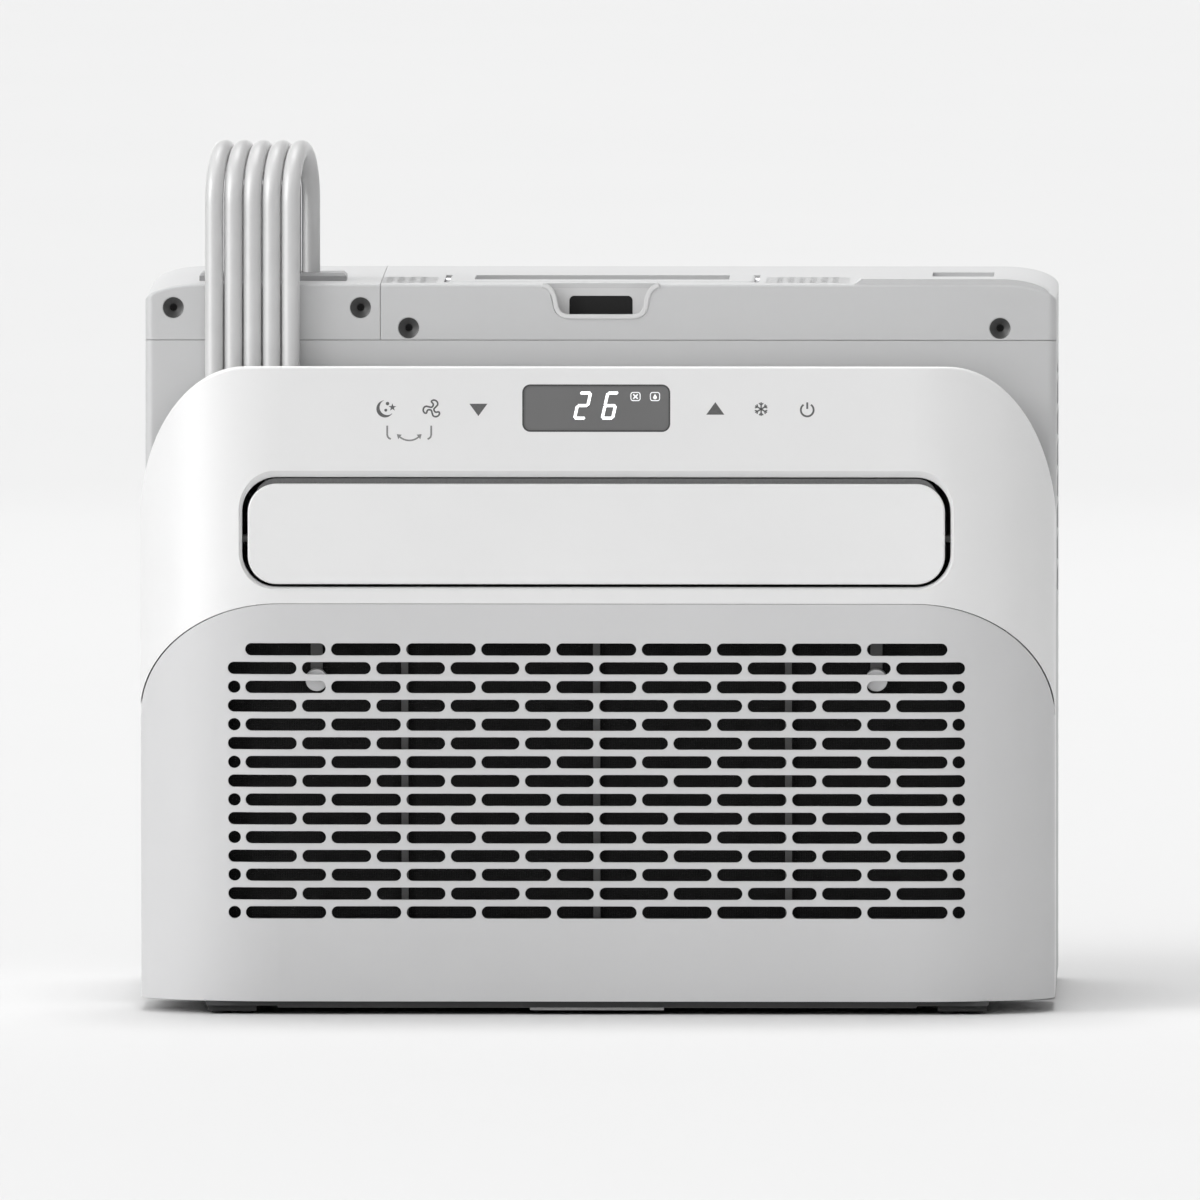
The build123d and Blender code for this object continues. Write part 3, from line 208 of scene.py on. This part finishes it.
def filter_cloth(name):
    """Fine black knitted mesh: two crossing rows of thread."""
    m = Nodes(name)
    height = None
    for turn in (0, math.pi / 2):
        mapping = m.add("ShaderNodeMapping")
        mapping.inputs["Rotation"].default_value = (0, turn, 0)
        m.link(m.place, mapping.inputs["Vector"])
        wave = m.add("ShaderNodeTexWave", wave_type="BANDS", bands_direction="X")
        wave.inputs["Scale"].default_value = 260
        wave.inputs["Distortion"].default_value = 0.6
        m.link(mapping.outputs["Vector"], wave.inputs["Vector"])
        if height is None:
            height = wave.outputs["Fac"]
        else:
            both = m.add("ShaderNodeMath", operation="MAXIMUM")
            m.link(height, both.inputs[0])
            m.link(wave.outputs["Fac"], both.inputs[1])
            height = both.outputs["Value"]
    m.link(m.ramp(height, grey(0.002), grey(0.009), 0.2, 0.9), m.shader.inputs["Base Color"])
    m.link(m.bump(height, 0.0003), m.shader.inputs["Normal"])
    m.link(m.spread(m.noise(800, 2), 0.8, 0.9), m.shader.inputs["Roughness"])
    m.shader.inputs["Specular IOR Level"].default_value = 0.25
    return m.material


def display_glass(name):
    """Smoked display window, slightly uneven in tone, with a clear gloss."""
    m = Nodes(name)
    m.link(m.ramp(m.noise(25, 2), grey(0.155), grey(0.17)), m.shader.inputs["Base Color"])
    m.link(m.spread(m.noise(120, 2), 0.28, 0.34), m.shader.inputs["Roughness"])
    m.link(m.bump(m.noise(700, 2), 0.00001, 0.3), m.shader.inputs["Normal"])
    m.shader.inputs["Specular IOR Level"].default_value = 0.3
    return m.material


def circuit_board(name):
    """Green board with traces."""
    m = Nodes(name)
    brick = m.add("ShaderNodeTexBrick")
    brick.inputs["Scale"].default_value = 220
    brick.inputs["Color1"].default_value = (0.012, 0.10, 0.035, 1)
    brick.inputs["Color2"].default_value = (0.016, 0.13, 0.045, 1)
    brick.inputs["Mortar"].default_value = (0.03, 0.19, 0.07, 1)
    m.link(m.place, brick.inputs["Vector"])
    m.link(brick.outputs["Color"], m.shader.inputs["Base Color"])
    m.link(m.spread(m.noise(400, 2), 0.3, 0.45), m.shader.inputs["Roughness"])
    m.link(m.bump(brick.outputs["Fac"], 0.00005, 0.6), m.shader.inputs["Normal"])
    return m.material


def hose_sheath(name):
    """Smooth grey sheath of a hose with a soft gloss."""
    m = Nodes(name)
    m.link(m.ramp(m.noise(60, 3), grey(0.56), grey(0.59)), m.shader.inputs["Base Color"])
    m.link(m.spread(m.noise(500, 3), 0.40, 0.48), m.shader.inputs["Roughness"])
    m.link(m.bump(m.noise(1500, 3), 0.00002, 0.5), m.shader.inputs["Normal"])
    m.shader.inputs["Coat Weight"].default_value = 0.5
    m.shader.inputs["Coat Roughness"].default_value = 0.45
    return m.material


SLOTS = {
    "white_plastic": plastic("white_plastic", grey(0.80), 0.42, edge=0.00025),
    # The grille is of the front's white plastic; its darker grey is painted shade below the crease.
    "grille_plastic": plastic("grille_plastic", (0.62, 0.62, 0.625), 0.5),
    # The outdoor cover is white plastic; its grey here is painted shade.
    "outdoor_plastic": plastic(
        "outdoor_plastic", (0.55, 0.552, 0.555), 0.5, grain=1500, grain_deep=0.00004, edge=0.0009
    ),
    "collar_plastic": plastic("collar_plastic", (0.34, 0.34, 0.345), 0.5),
    "duct_plastic": plastic("duct_plastic", grey(0.10), 0.6),
    "black_plastic": plastic("black_plastic", grey(0.022), 0.55),
    "filter_cloth": filter_cloth("filter_cloth"),
    "display_glass": display_glass("display_glass"),
    "circuit_board": circuit_board("circuit_board"),
    "coil_fin": metal("coil_fin", (0.62, 0.63, 0.65), 0.38, streak=(1, 1, 0.06)),
    "copper": metal("copper", (0.72, 0.36, 0.20), 0.32, streak=(0.2, 1, 1)),
    "steel": metal("steel", (0.55, 0.55, 0.56), 0.35, streak=(1, 0.1, 1)),
    "black_steel": metal("black_steel", (0.035, 0.035, 0.036), 0.5, deep=0.00003, metallic=0.0),
    "rubber": rubber("rubber"),
    "hose_sheath": hose_sheath("hose_sheath"),
}


def dress_nodes():
    """Give each CAD node the material of its slot."""
    slot_of = {part["node"]: part["material_slot"] for part in frame["record"]["subparts"]}
    for name, thing in nodes.items():
        material = SLOTS[slot_of[name]]
        if not thing.material_slots:
            thing.data.materials.append(material)
        for place in thing.material_slots:
            place.material = material


dress_nodes()


FLAP_HALF = 0.17432  # metres from the middle to the flap's end, where its pins start


def flap_material():
    """White flap whose end pins, beyond its ends, are of dark slippery plastic."""
    m = Nodes("flap_plastic")
    split = m.add("ShaderNodeSeparateXYZ")
    m.link(m.place, split.inputs["Vector"])
    far = m.add("ShaderNodeMath", operation="ABSOLUTE")
    m.link(split.outputs["X"], far.inputs[0])
    pin = m.add("ShaderNodeMath", operation="GREATER_THAN")
    pin.inputs[1].default_value = FLAP_HALF
    m.link(far.outputs["Value"], pin.inputs[0])
    colour = m.add("ShaderNodeMix", data_type="RGBA")
    m.link(pin.outputs["Value"], colour.inputs["Factor"])
    m.link(m.ramp(m.noise(9, 3), grey(0.80), grey(0.83)), colour.inputs["A"])
    m.link(m.ramp(m.noise(300, 3), grey(0.012), grey(0.02)), colour.inputs["B"])
    m.link(colour.outputs["Result"], m.shader.inputs["Base Color"])
    m.link(m.spread(m.noise(430, 2), 0.4, 0.5), m.shader.inputs["Roughness"])
    m.link(m.bump(m.noise(2600, 3), 0.00002, 0.5, m.soft_edges(0.0006)), m.shader.inputs["Normal"])
    return m.material


nodes["outlet_flap"].material_slots[0].material = flap_material()


# ---------------------------------------------------------------- small pieces


def mesh_piece(name, build, material, body="root"):
    """A piece made by filling a bmesh, in millimetres, riding on a body."""
    shape = bmesh.new()
    build(shape)
    bmesh.ops.scale(shape, vec=(MM, MM, MM), verts=shape.verts)
    bmesh.ops.recalc_face_normals(shape, faces=shape.faces)
    data = bpy.data.meshes.new(name)
    shape.to_mesh(data)
    shape.free()
    data.materials.append(material)
    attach(add_object(name, data), body)


def plate(shape, outline, y, thick):
    """A flat plate in X and Z with its face at y and its back the thickness behind."""
    front = [shape.verts.new((x, y, z)) for x, z in outline]
    back = [shape.verts.new((x, y + thick, z)) for x, z in outline]
    shape.faces.new(front)
    shape.faces.new(list(reversed(back)))
    count = len(outline)
    for i in range(count):
        j = (i + 1) % count
        shape.faces.new((front[i], front[j], back[j], back[i]))


def stroke(points, wide, closed=False):
    """Outline of a band of one width along the points, with round ends."""
    left, right = [], []
    count = len(points)
    for i, point in enumerate(points):
        before = points[i - 1] if i or closed else point
        after = points[(i + 1) % count] if i < count - 1 or closed else point
        along = Vector(after) - Vector(before)
        across = Vector((-along.y, along.x)).normalized() * wide / 2
        left.append(tuple(Vector(point) + across))
        right.append(tuple(Vector(point) - across))
    return left, right


def strip(shape, left, right, y, thick, closed=False):
    """A closed solid between two rows of as many points, with its face at y."""
    count = len(left)
    rows = []
    for depth in (y, y + thick):
        rows.append([shape.verts.new((x, depth, z)) for x, z in left])
        rows.append([shape.verts.new((x, depth, z)) for x, z in right])
    fl, fr, bl, br = rows
    for i in range(count if closed else count - 1):
        j = (i + 1) % count
        shape.faces.new((fl[i], fl[j], fr[j], fr[i]))
        shape.faces.new((bl[i], br[i], br[j], bl[j]))
        shape.faces.new((fl[i], bl[i], bl[j], fl[j]))
        shape.faces.new((fr[i], fr[j], br[j], br[i]))
    if not closed:
        for i in (0, count - 1):
            shape.faces.new((fl[i], fr[i], br[i], bl[i]))


def band(shape, points, wide, y, thick, closed=False):
    """A band of one width along the points."""
    left, right = stroke(points, wide, closed)
    strip(shape, left, right, y, thick, closed)


def circle(x, z, radius, steps=32, start=0.0, sweep=360.0):
    """Points round a circle or along an arc, angles in degrees."""
    full = sweep >= 360
    count = steps if full else steps + 1
    points = []
    for i in range(count):
        a = math.radians(start + sweep * i / steps)
        points.append((x + radius * math.cos(a), z + radius * math.sin(a)))
    return points


def smoothed(points, steps=5):
    """Closed curve through the points, eased between them."""
    count = len(points)
    made = []
    for i in range(count):
        a, b, c, d = (Vector(points[(i + k - 1) % count]) for k in range(4))
        for step in range(steps):
            t = step / steps
            square = 2 * a - 5 * b + 4 * c - d
            cube = 3 * b - a - 3 * c + d
            made.append(tuple(0.5 * (2 * b + (c - a) * t + square * t ** 2 + cube * t ** 3)))
    return made


# ---------------------------------------------------------------- hoses

HOSES = 5
HOSE_FIRST_X = -194.2
HOSE_PITCH = 9.6
HOSE_SHIFT = 9.2
HOSE_FRONT_Y = -28.0
HOSE_REAR_Y = 24.0
HOSE_RADIUS = 4.65
# Share of the way from front to back, and height, of each point of a hose's route.
HOSE_ROUTE = [
    (0, 296), (0, 389.7), (0, 411.53), (0.2929, 427),
    (0.7071, 427), (1, 411.53), (1, 389.7), (1, 364),
]


def link_hose(number):
    """One hose: up out of the indoor unit, over, and down into the collar."""
    x = HOSE_FIRST_X + HOSE_PITCH * number
    reach = HOSE_REAR_Y - HOSE_FRONT_Y
    route = [(x + HOSE_SHIFT * s, HOSE_FRONT_Y + reach * s, z) for s, z in HOSE_ROUTE]
    data = bpy.data.curves.new(f"hose_{number + 1}", "CURVE")
    data.dimensions = "3D"
    data.bevel_depth = HOSE_RADIUS * MM
    data.bevel_resolution = 8
    data.resolution_u = 16
    data.use_fill_caps = True
    spline = data.splines.new("NURBS")
    spline.points.add(len(route) - 1)
    for point, place in zip(spline.points, route):
        point.co = (place[0] * MM, place[1] * MM, place[2] * MM, 1)
    spline.order_u = 3
    spline.use_endpoint_u = True
    data.materials.append(SLOTS["hose_sheath"])
    hose = add_object(f"hose_{number + 1}", data)
    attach(hose, "root")
    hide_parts(f"link_hose_{number + 1}")


for number in range(HOSES):
    link_hose(number)


# ---------------------------------------------------------------- controls


def ink_and_painted_light(name, value):
    """Printed or moulded mark, and the flat painted shade and painted light of a few small pieces: matt,
    slightly uneven ink.
    """
    m = Nodes(name)
    m.shader.inputs["Specular IOR Level"].default_value = 0.2
    m.link(m.ramp(m.noise(900, 3), grey(value * 0.9), grey(value * 1.1)), m.shader.inputs["Base Color"])
    m.link(m.spread(m.noise(500, 2), 0.5, 0.62), m.shader.inputs["Roughness"])
    return m.material


def lit_segment(name, strength):
    """Lit display segment, slightly uneven in tone."""
    m = Nodes(name)
    m.link(m.ramp(m.noise(300, 2), (0.93, 0.95, 0.97), (1, 1, 1)), m.shader.inputs["Base Color"])
    m.link(m.ramp(m.noise(200, 2), (0.93, 0.96, 0.98), (1, 1, 1)), m.shader.inputs["Emission Color"])
    m.shader.inputs["Emission Strength"].default_value = strength
    m.shader.inputs["Roughness"].default_value = 0.4
    return m.material


DARK_INK = ink_and_painted_light("dark_ink", 0.12)
PALE_INK = ink_and_painted_light("pale_ink", 0.24)
# Near-black colour of the display rim, which is painted shade.
RIM_PAINTED_SHADE = ink_and_painted_light("rim_shade_paint", 0.07)
LIT = lit_segment("lit_segment", 0.9)
FACE_Y = -175.0 - 0.03
INK = 0.06
OVERLAP = 0.005  # how far a mark stands out over one that it crosses
KEY_Z = 304.6
MOON_X = -105.6
STAR_X = -101.9
FAN_X = -82.0
MODE_X = 82.45
POWER_X = 105.5
SWING_X = -93.5
DISPLAY_FACE_Y = -174.7


def moon_key(shape):
    """Crescent, star and two dots."""
    outer = circle(MOON_X, KEY_Z, 4.3, steps=40, start=96, sweep=234)
    inner = circle(-104.45, KEY_Z + 0.75, 3.85, steps=40, start=114.5, sweep=197)
    strip(shape, outer, inner, FACE_Y, INK)
    plate(shape, circle(-104.35, KEY_Z + 2.65, 0.88, steps=20), FACE_Y, INK)
    plate(shape, circle(-105.2, KEY_Z - 0.65, 0.74, steps=20), FACE_Y, INK)
    star = []
    for i in range(10):
        radius = 2.0 if i % 2 == 0 else 0.8
        a = math.radians(90 + 36 * i)
        star.append((STAR_X + radius * math.cos(a), KEY_Z + 0.75 + radius * math.sin(a)))
    plate(shape, star, FACE_Y, INK)


def fan_key(shape):
    """Outline of a three-bladed fan."""
    blade = [
        (-0.45, 0.8), (0.4, 1.5), (0.5, 2.5), (-0.35, 3.6), (0.35, 4.35),
        (1.6, 4.25), (2.6, 3.3), (2.7, 2.1), (1.9, 1.1),
    ]
    outline = []
    for turn in (0, -120, -240):
        a = math.radians(turn)
        for x, z in blade:
            turned = (x * math.cos(a) - z * math.sin(a), x * math.sin(a) + z * math.cos(a))
            outline.append((FAN_X + turned[0], KEY_Z + turned[1]))
    band(shape, smoothed(outline), 0.85, FACE_Y, INK, closed=True)


def arrow_keys(shape):
    """Down and up arrows on each side of the display."""
    plate(shape, [(-63.4, 307.2), (-54.4, 307.2), (-58.9, 301.0)], FACE_Y, INK)
    plate(shape, [(55.0, 301.8), (64.1, 301.8), (59.55, 308.1)], FACE_Y, INK)


FROST_ARM = 3.4
NOTCH_AT = 2.0
NOTCH_TIP = 3.0
NOTCH_REACH = 1.05


def mode_key(shape):
    """Six-armed frost mark for the mode key."""
    for turn in range(0, 180, 60):
        a = math.radians(turn + 30)
        along = Vector((math.cos(a), math.sin(a)))
        across = Vector((-along.y, along.x))
        middle = Vector((MODE_X, KEY_Z))
        arm = along * FROST_ARM
        band(shape, [tuple(middle - arm), tuple(middle + arm)], 0.7, FACE_Y, INK)
        for side in (-1, 1):
            notch = middle + along * side * NOTCH_AT
            for lean in (-1, 1):
                tip = middle + along * side * NOTCH_TIP + across * lean * NOTCH_REACH
                band(shape, [tuple(notch), tuple(tip)], 0.6, FACE_Y - OVERLAP, INK)


def power_key(shape):
    """Broken ring with an upright bar."""
    wide = 0.95
    band(shape, circle(POWER_X, 304.2, 3.2, steps=36, start=125, sweep=290), wide, FACE_Y, INK)
    band(shape, [(POWER_X, 308.0), (POWER_X, 304.7)], wide, FACE_Y, INK)


def swing_mark(shape):
    """Bracket that joins two keys, and an arc with two arrowheads for the swing."""
    left = [(-104.5, 296.2), (-104.5, 291.6), (-104.2, 290.6), (-103.6, 289.9), (-102.7, 289.5)]
    band(shape, left, 0.9, FACE_Y, INK)
    band(shape, [(2 * SWING_X - x, z) for x, z in left], 0.9, FACE_Y, INK)
    arc = circle(SWING_X, 296.0, 7.2, steps=16, start=230, sweep=80)
    band(shape, arc, 0.8, FACE_Y, INK)
    for end, inward in ((arc[0], 1), (arc[-1], -1)):
        x, z = end
        head = [(x - 1.6 * inward, z + 1.5), (x + 0.9 * inward, z + 1.2), (x - 0.9 * inward, z - 1.1)]
        plate(shape, head, FACE_Y - OVERLAP, INK)


mesh_piece("key_moon", moon_key, DARK_INK)
mesh_piece("key_fan", fan_key, DARK_INK)
mesh_piece("key_arrows", arrow_keys, DARK_INK)
mesh_piece("key_mode", mode_key, DARK_INK)
mesh_piece("key_power", power_key, DARK_INK)
mesh_piece("mark_swing", swing_mark, PALE_INK)

DIGIT_HIGH = 14.1
DIGIT_WIDE = 6.7
DIGIT_LEAN = 0.22
STROKE = 1.5
DIGIT_Z = 306.3
LIT_Y = DISPLAY_FACE_Y - 0.05


def digit(shape, x, z, segments):
    """Leaning seven-segment digit about its middle, with the named segments lit."""
    w = (DIGIT_WIDE - STROKE) / 2
    h = (DIGIT_HIGH - STROKE) / 2
    ends = {
        "top": ((-w, h), (w, h)),
        "middle": ((-w, 0), (w, 0)),
        "bottom": ((-w, -h), (w, -h)),
        "upper_left": ((-w, 0), (-w, h)),
        "upper_right": ((w, 0), (w, h)),
        "lower_left": ((-w, -h), (-w, 0)),
        "lower_right": ((w, -h), (w, 0)),
    }
    for name in segments:
        (ax, az), (bx, bz) = ends[name]
        a = Vector((ax, az))
        b = Vector((bx, bz))
        along = (b - a).normalized()
        across = Vector((-along.y, along.x)) * STROKE / 2
        gap = along * 0.35
        a = a + gap
        b = b - gap
        tip = along * STROKE / 2 * 0.6
        outline = [a - tip, a + across, b + across, b + tip, b - across, a - across]
        leaning = [(x + p.x + DIGIT_LEAN * p.y, z + p.y) for p in outline]
        plate(shape, leaning, LIT_Y, INK)


def digits(shape):
    """The set temperature, in lit digits."""
    digit(shape, -6.8, DIGIT_Z, ("top", "upper_right", "middle", "lower_left", "bottom"))
    digit(shape, 7.0, DIGIT_Z, ("top", "upper_left", "middle", "lower_left", "lower_right", "bottom"))


def rounded_outline(half_x, low, high, radius):
    """Points round a rounded rectangle in X and Z."""
    points = []
    for cx, cz, start in (
        (half_x - radius, high - radius, 0), (-half_x + radius, high - radius, 90),
        (-half_x + radius, low + radius, 180), (half_x - radius, low + radius, 270)
    ):
        points += circle(cx, cz, radius, steps=8, start=start, sweep=90)
    return points


def display_rim(shape):
    """Dark rim round the display window, from its face to the face of the shell: painted shade on the
    pocket's wall.
    """
    band(shape, rounded_outline(36.6, 293.55, 316.5, 3.7), 0.8, FACE_Y, 0.34, closed=True)


mesh_piece("display_digits", digits, LIT)
mesh_piece("display_rim", display_rim, RIM_PAINTED_SHADE)


FROST_X = 19.65
DROP_X = 29.4
MARK_Z = 310.85
MARK_Y = LIT_Y - 0.01


def status_marks(shape):
    """Two small status marks: a frost star in a frame and a drop in a frame."""
    for x in (FROST_X, DROP_X):
        around = [(px + x, pz) for px, pz in rounded_outline(2.3, 308.8, 312.9, 1.1)]
        band(shape, around, 0.45, LIT_Y, INK, closed=True)
    for turn in (45, 135):
        a = math.radians(turn)
        dx = 1.6 * math.cos(a)
        dz = 1.6 * math.sin(a)
        band(shape, [(FROST_X - dx, MARK_Z - dz), (FROST_X + dx, MARK_Z + dz)], 0.7, MARK_Y, INK)
    drop = circle(DROP_X, 310.4, 0.95, steps=14, start=150, sweep=240) + [(DROP_X, 312.2)]
    plate(shape, drop, MARK_Y, INK)


mesh_piece("display_status", status_marks, lit_segment("lit_mark", 0.2))


# ---------------------------------------------------------------- base and outlet


def base_gap_painted_light(shape):
    """Grey bar under the middle of the front edge, between the base plate and the floor: painted light
    for the floor seen through the gap there.
    """
    half, low, high = 33.5, 2.0, 3.3
    plate(shape, [(-half, low), (half, low), (half, high), (-half, high)], -149.4, 1.4)


# The grey bar under the front edge is painted light.
mesh_piece("base_gap_painted_light", base_gap_painted_light, ink_and_painted_light("base_light_paint", 0.30))


LIP_CENTRE_X = 160.0
LIP_CENTRE_Z = 252.7
LIP_END = 42  # degrees above level where the lip has thinned out
LIP_STEPS = 8


def flap_lip_painted_shade(shape):
    """Dark grey lip behind the top edge of the flap, which thins out round its upper corners: painted
    shade in the opening above the flap.
    """
    inner, outer = [], []
    low = math.sin(math.radians(LIP_END))
    for centre_x, start, stop in ((-LIP_CENTRE_X, 180 - LIP_END, 90), (LIP_CENTRE_X, 90, LIP_END)):
        for step in range(LIP_STEPS + 1):
            a = math.radians(start + (stop - start) * step / LIP_STEPS)
            share = (math.sin(a) - low) / (1 - low)
            for row, radius in ((inner, 13.0), (outer, 14.0 + 2.9 * max(0.0, share))):
                row.append((centre_x + radius * math.cos(a), LIP_CENTRE_Z + radius * math.sin(a)))
    strip(shape, outer, inner, -171.3, 1.0)


# The lip's dark grey is painted shade.
mesh_piece("flap_lip_painted_shade", flap_lip_painted_shade, ink_and_painted_light("lip_shade_paint", 0.15), body="flap")


# ---------------------------------------------------------------- hand recess

RECESS_FACE_Y = -21.0
RECESS_BACK_Y = -12.9
RECESS_RIM = [
    (29.5, 359.4), (27.6, 359.0), (25.7, 357.7), (24.2, 355.6), (23.3, 353.2), (22.8, 350.6),
    (22.4, 348.3), (21.5, 346.2), (19.9, 344.6), (17.8, 343.8), (15.0, 343.6),
]


def recess_rim(shape):
    """Rounded bead round the sides and the foot of the hand recess, lighter than the cover as a painted
    highlight.
    """
    left = [(-x, z) for x, z in RECESS_RIM]
    band(shape, left + list(reversed(RECESS_RIM)), 2.3, RECESS_FACE_Y - 0.5, 1.4)


def recess_panel(shape):
    """Plain back of the hand recess, round the latch slot, lighter than the cover as painted light
    against the recess's shade.
    """
    half, low, high = 27.0, 342.0, 357.6
    outline = [(-half, low), (half, low), (half, high), (-half, high)]
    plate(shape, outline, RECESS_BACK_Y - 0.2, 0.15)


def latch_slot_painted_shade(shape):
    """Black plate in the mouth of the latch slot, with rounded upper corners: painted shade of the slot.
    """
    outline = [(-15.9, 343.6), (15.9, 343.6)]
    for x, start in ((13.5, 0), (-13.5, 90)):
        outline += circle(x, 351.3, 2.4, steps=6, start=start, sweep=90)
    plate(shape, outline, RECESS_BACK_Y - 0.3, 0.1)


SCREW_SPOTS = [(-214.9, 348.0), (-120.75, 348.0), (-96.55, 337.8), (200.75, 337.8)]
# Radius and Y of each ring round a well's section.
WELL_SECTION = [(5.2, -20.6), (4.6, -20.2), (1.9, -17.6), (1.9, -17.2), (4.9, -19.8), (5.2, -20.2)]
WELL_SIDES = 32


def screw_well_painted_shade(shape):
    """Dished ring round each cover screw, inside its hole, coloured near black as painted shade of the
    deep hole.
    """
    for x, z in SCREW_SPOTS:
        rings = []
        for radius, y in WELL_SECTION:
            rings.append([shape.verts.new((px, y, pz)) for px, pz in circle(x, z, radius, WELL_SIDES)])
        for inner, outer in zip(rings, rings[1:] + rings[:1]):
            for i in range(WELL_SIDES):
                j = (i + 1) % WELL_SIDES
                shape.faces.new((inner[i], inner[j], outer[j], outer[i]))


def cover_plastic(name, value, rough, edge):
    """Grey plastic of a small piece on the cover, its value set per piece: darker than the cover as
    painted shade, lighter as painted light.
    """
    return plastic(name, grey(value), rough, grain=1500, grain_deep=0.00003, edge=edge)


# The wells' near-black plastic is painted shade of the white screw holes.
mesh_piece("screw_well_painted_shade", screw_well_painted_shade, cover_plastic("well_shade_plastic", 0.06, 0.45, 0.0))
# The bead's lighter grey is a painted highlight.
mesh_piece("recess_rim", recess_rim, cover_plastic("bead_painted_highlight", 0.66, 0.45, 0.0009))
# The recess panel's lighter grey is painted light.
mesh_piece("recess_panel", recess_panel, cover_plastic("panel_painted_light", 0.60, 0.5, 0.0))
# The latch slot's black plate is painted shade.
mesh_piece("latch_slot_painted_shade", latch_slot_painted_shade, ink_and_painted_light("latch_shade_black", 0.006))


# ---------------------------------------------------------------- studio


FLOOR_HALF = 150  # metres
FLOOR_DROP = 0.0002
FLOOR_PAINT = 0.735
STRIP_HIGH = 3.0
STRIP_AWAY = 4
STRIP_MIDDLE_Z = 1.8
PANEL_AWAY = 5


def floor_material(value):
    """Matt pale floor paint."""
    m = Nodes("floor_paint")
    paint = m.ramp(m.noise(2, 2), grey(value * 0.997), grey(value * 1.003))
    m.link(paint, m.shader.inputs["Base Color"])
    m.shader.inputs["Roughness"].default_value = 0.9
    m.shader.inputs["Specular IOR Level"].default_value = 0.1
    return m.material


def floor():
    """Plain floor far wider than the view."""
    shape = bmesh.new()
    bmesh.ops.create_grid(shape, x_segments=4, y_segments=4, size=FLOOR_HALF)
    data = bpy.data.meshes.new("floor")
    shape.to_mesh(data)
    shape.free()
    data.materials.append(floor_material(FLOOR_PAINT))
    thing = add_object("floor", data)
    thing.location.z = -FLOOR_DROP


def sun(name, strength, angle, azimuth, elevation):
    """Soft light, even over the whole floor."""
    data = bpy.data.lights.new(name, "SUN")
    data.energy = strength
    data.angle = math.radians(angle)
    aim(add_object(name, data), direction(azimuth, elevation))


def panel_light(name, power, size, towards, place):
    """Flat light that only shows in glossy surfaces."""
    data = bpy.data.lights.new(name, "AREA")
    data.shape = "RECTANGLE"
    data.size, data.size_y = size
    data.energy = power
    thing = add_object(name, data)
    thing.location = place
    aim(thing, towards)
    thing.visible_camera = False
    thing.visible_diffuse = False


def tall_light(name, power, wide, azimuth):
    """Tall upright strip light."""
    towards = direction(azimuth, 0)
    place = towards * STRIP_AWAY + Vector((0, 0, STRIP_MIDDLE_Z))
    panel_light(name, power, (wide, STRIP_HIGH), towards, place)


def back_panel(power):
    """Wide low panel behind the object."""
    towards = Vector((0, 1, 0.26)).normalized()
    panel_light("back_panel", power, (7.0, 2.0), towards, towards * PANEL_AWAY)


def sky(strength, seen):
    """Even white surround, which the camera sees as bright as the floor."""
    world = bpy.data.worlds.new("surround")
    world.use_nodes = True
    tree = world.node_tree
    background = tree.nodes["Background"]
    background.inputs["Color"].default_value = (1, 1, 1, 1)
    path = tree.nodes.new("ShaderNodeLightPath")
    level = tree.nodes.new("ShaderNodeMapRange")
    level.inputs["To Min"].default_value = strength
    level.inputs["To Max"].default_value = seen
    tree.links.new(path.outputs["Is Camera Ray"], level.inputs["Value"])
    tree.links.new(level.outputs["Result"], background.inputs["Strength"])
    bpy.context.scene.world = world


floor()
sky(strength=0.35, seen=0.888)
sun("key", strength=1.4, angle=40, azimuth=-66, elevation=30)
sun("front", strength=0.6, angle=60, azimuth=-18, elevation=38)
sun("side", strength=0.12, angle=20, azimuth=100, elevation=8)
sun("top", strength=1.7, angle=30, azimuth=180, elevation=80)
back_panel(power=60)
tall_light("left_strip", power=230, wide=0.8, azimuth=-56)
tall_light("right_strip", power=35, wide=0.4, azimuth=52)
bpy.context.scene.view_settings.view_transform = "Standard"
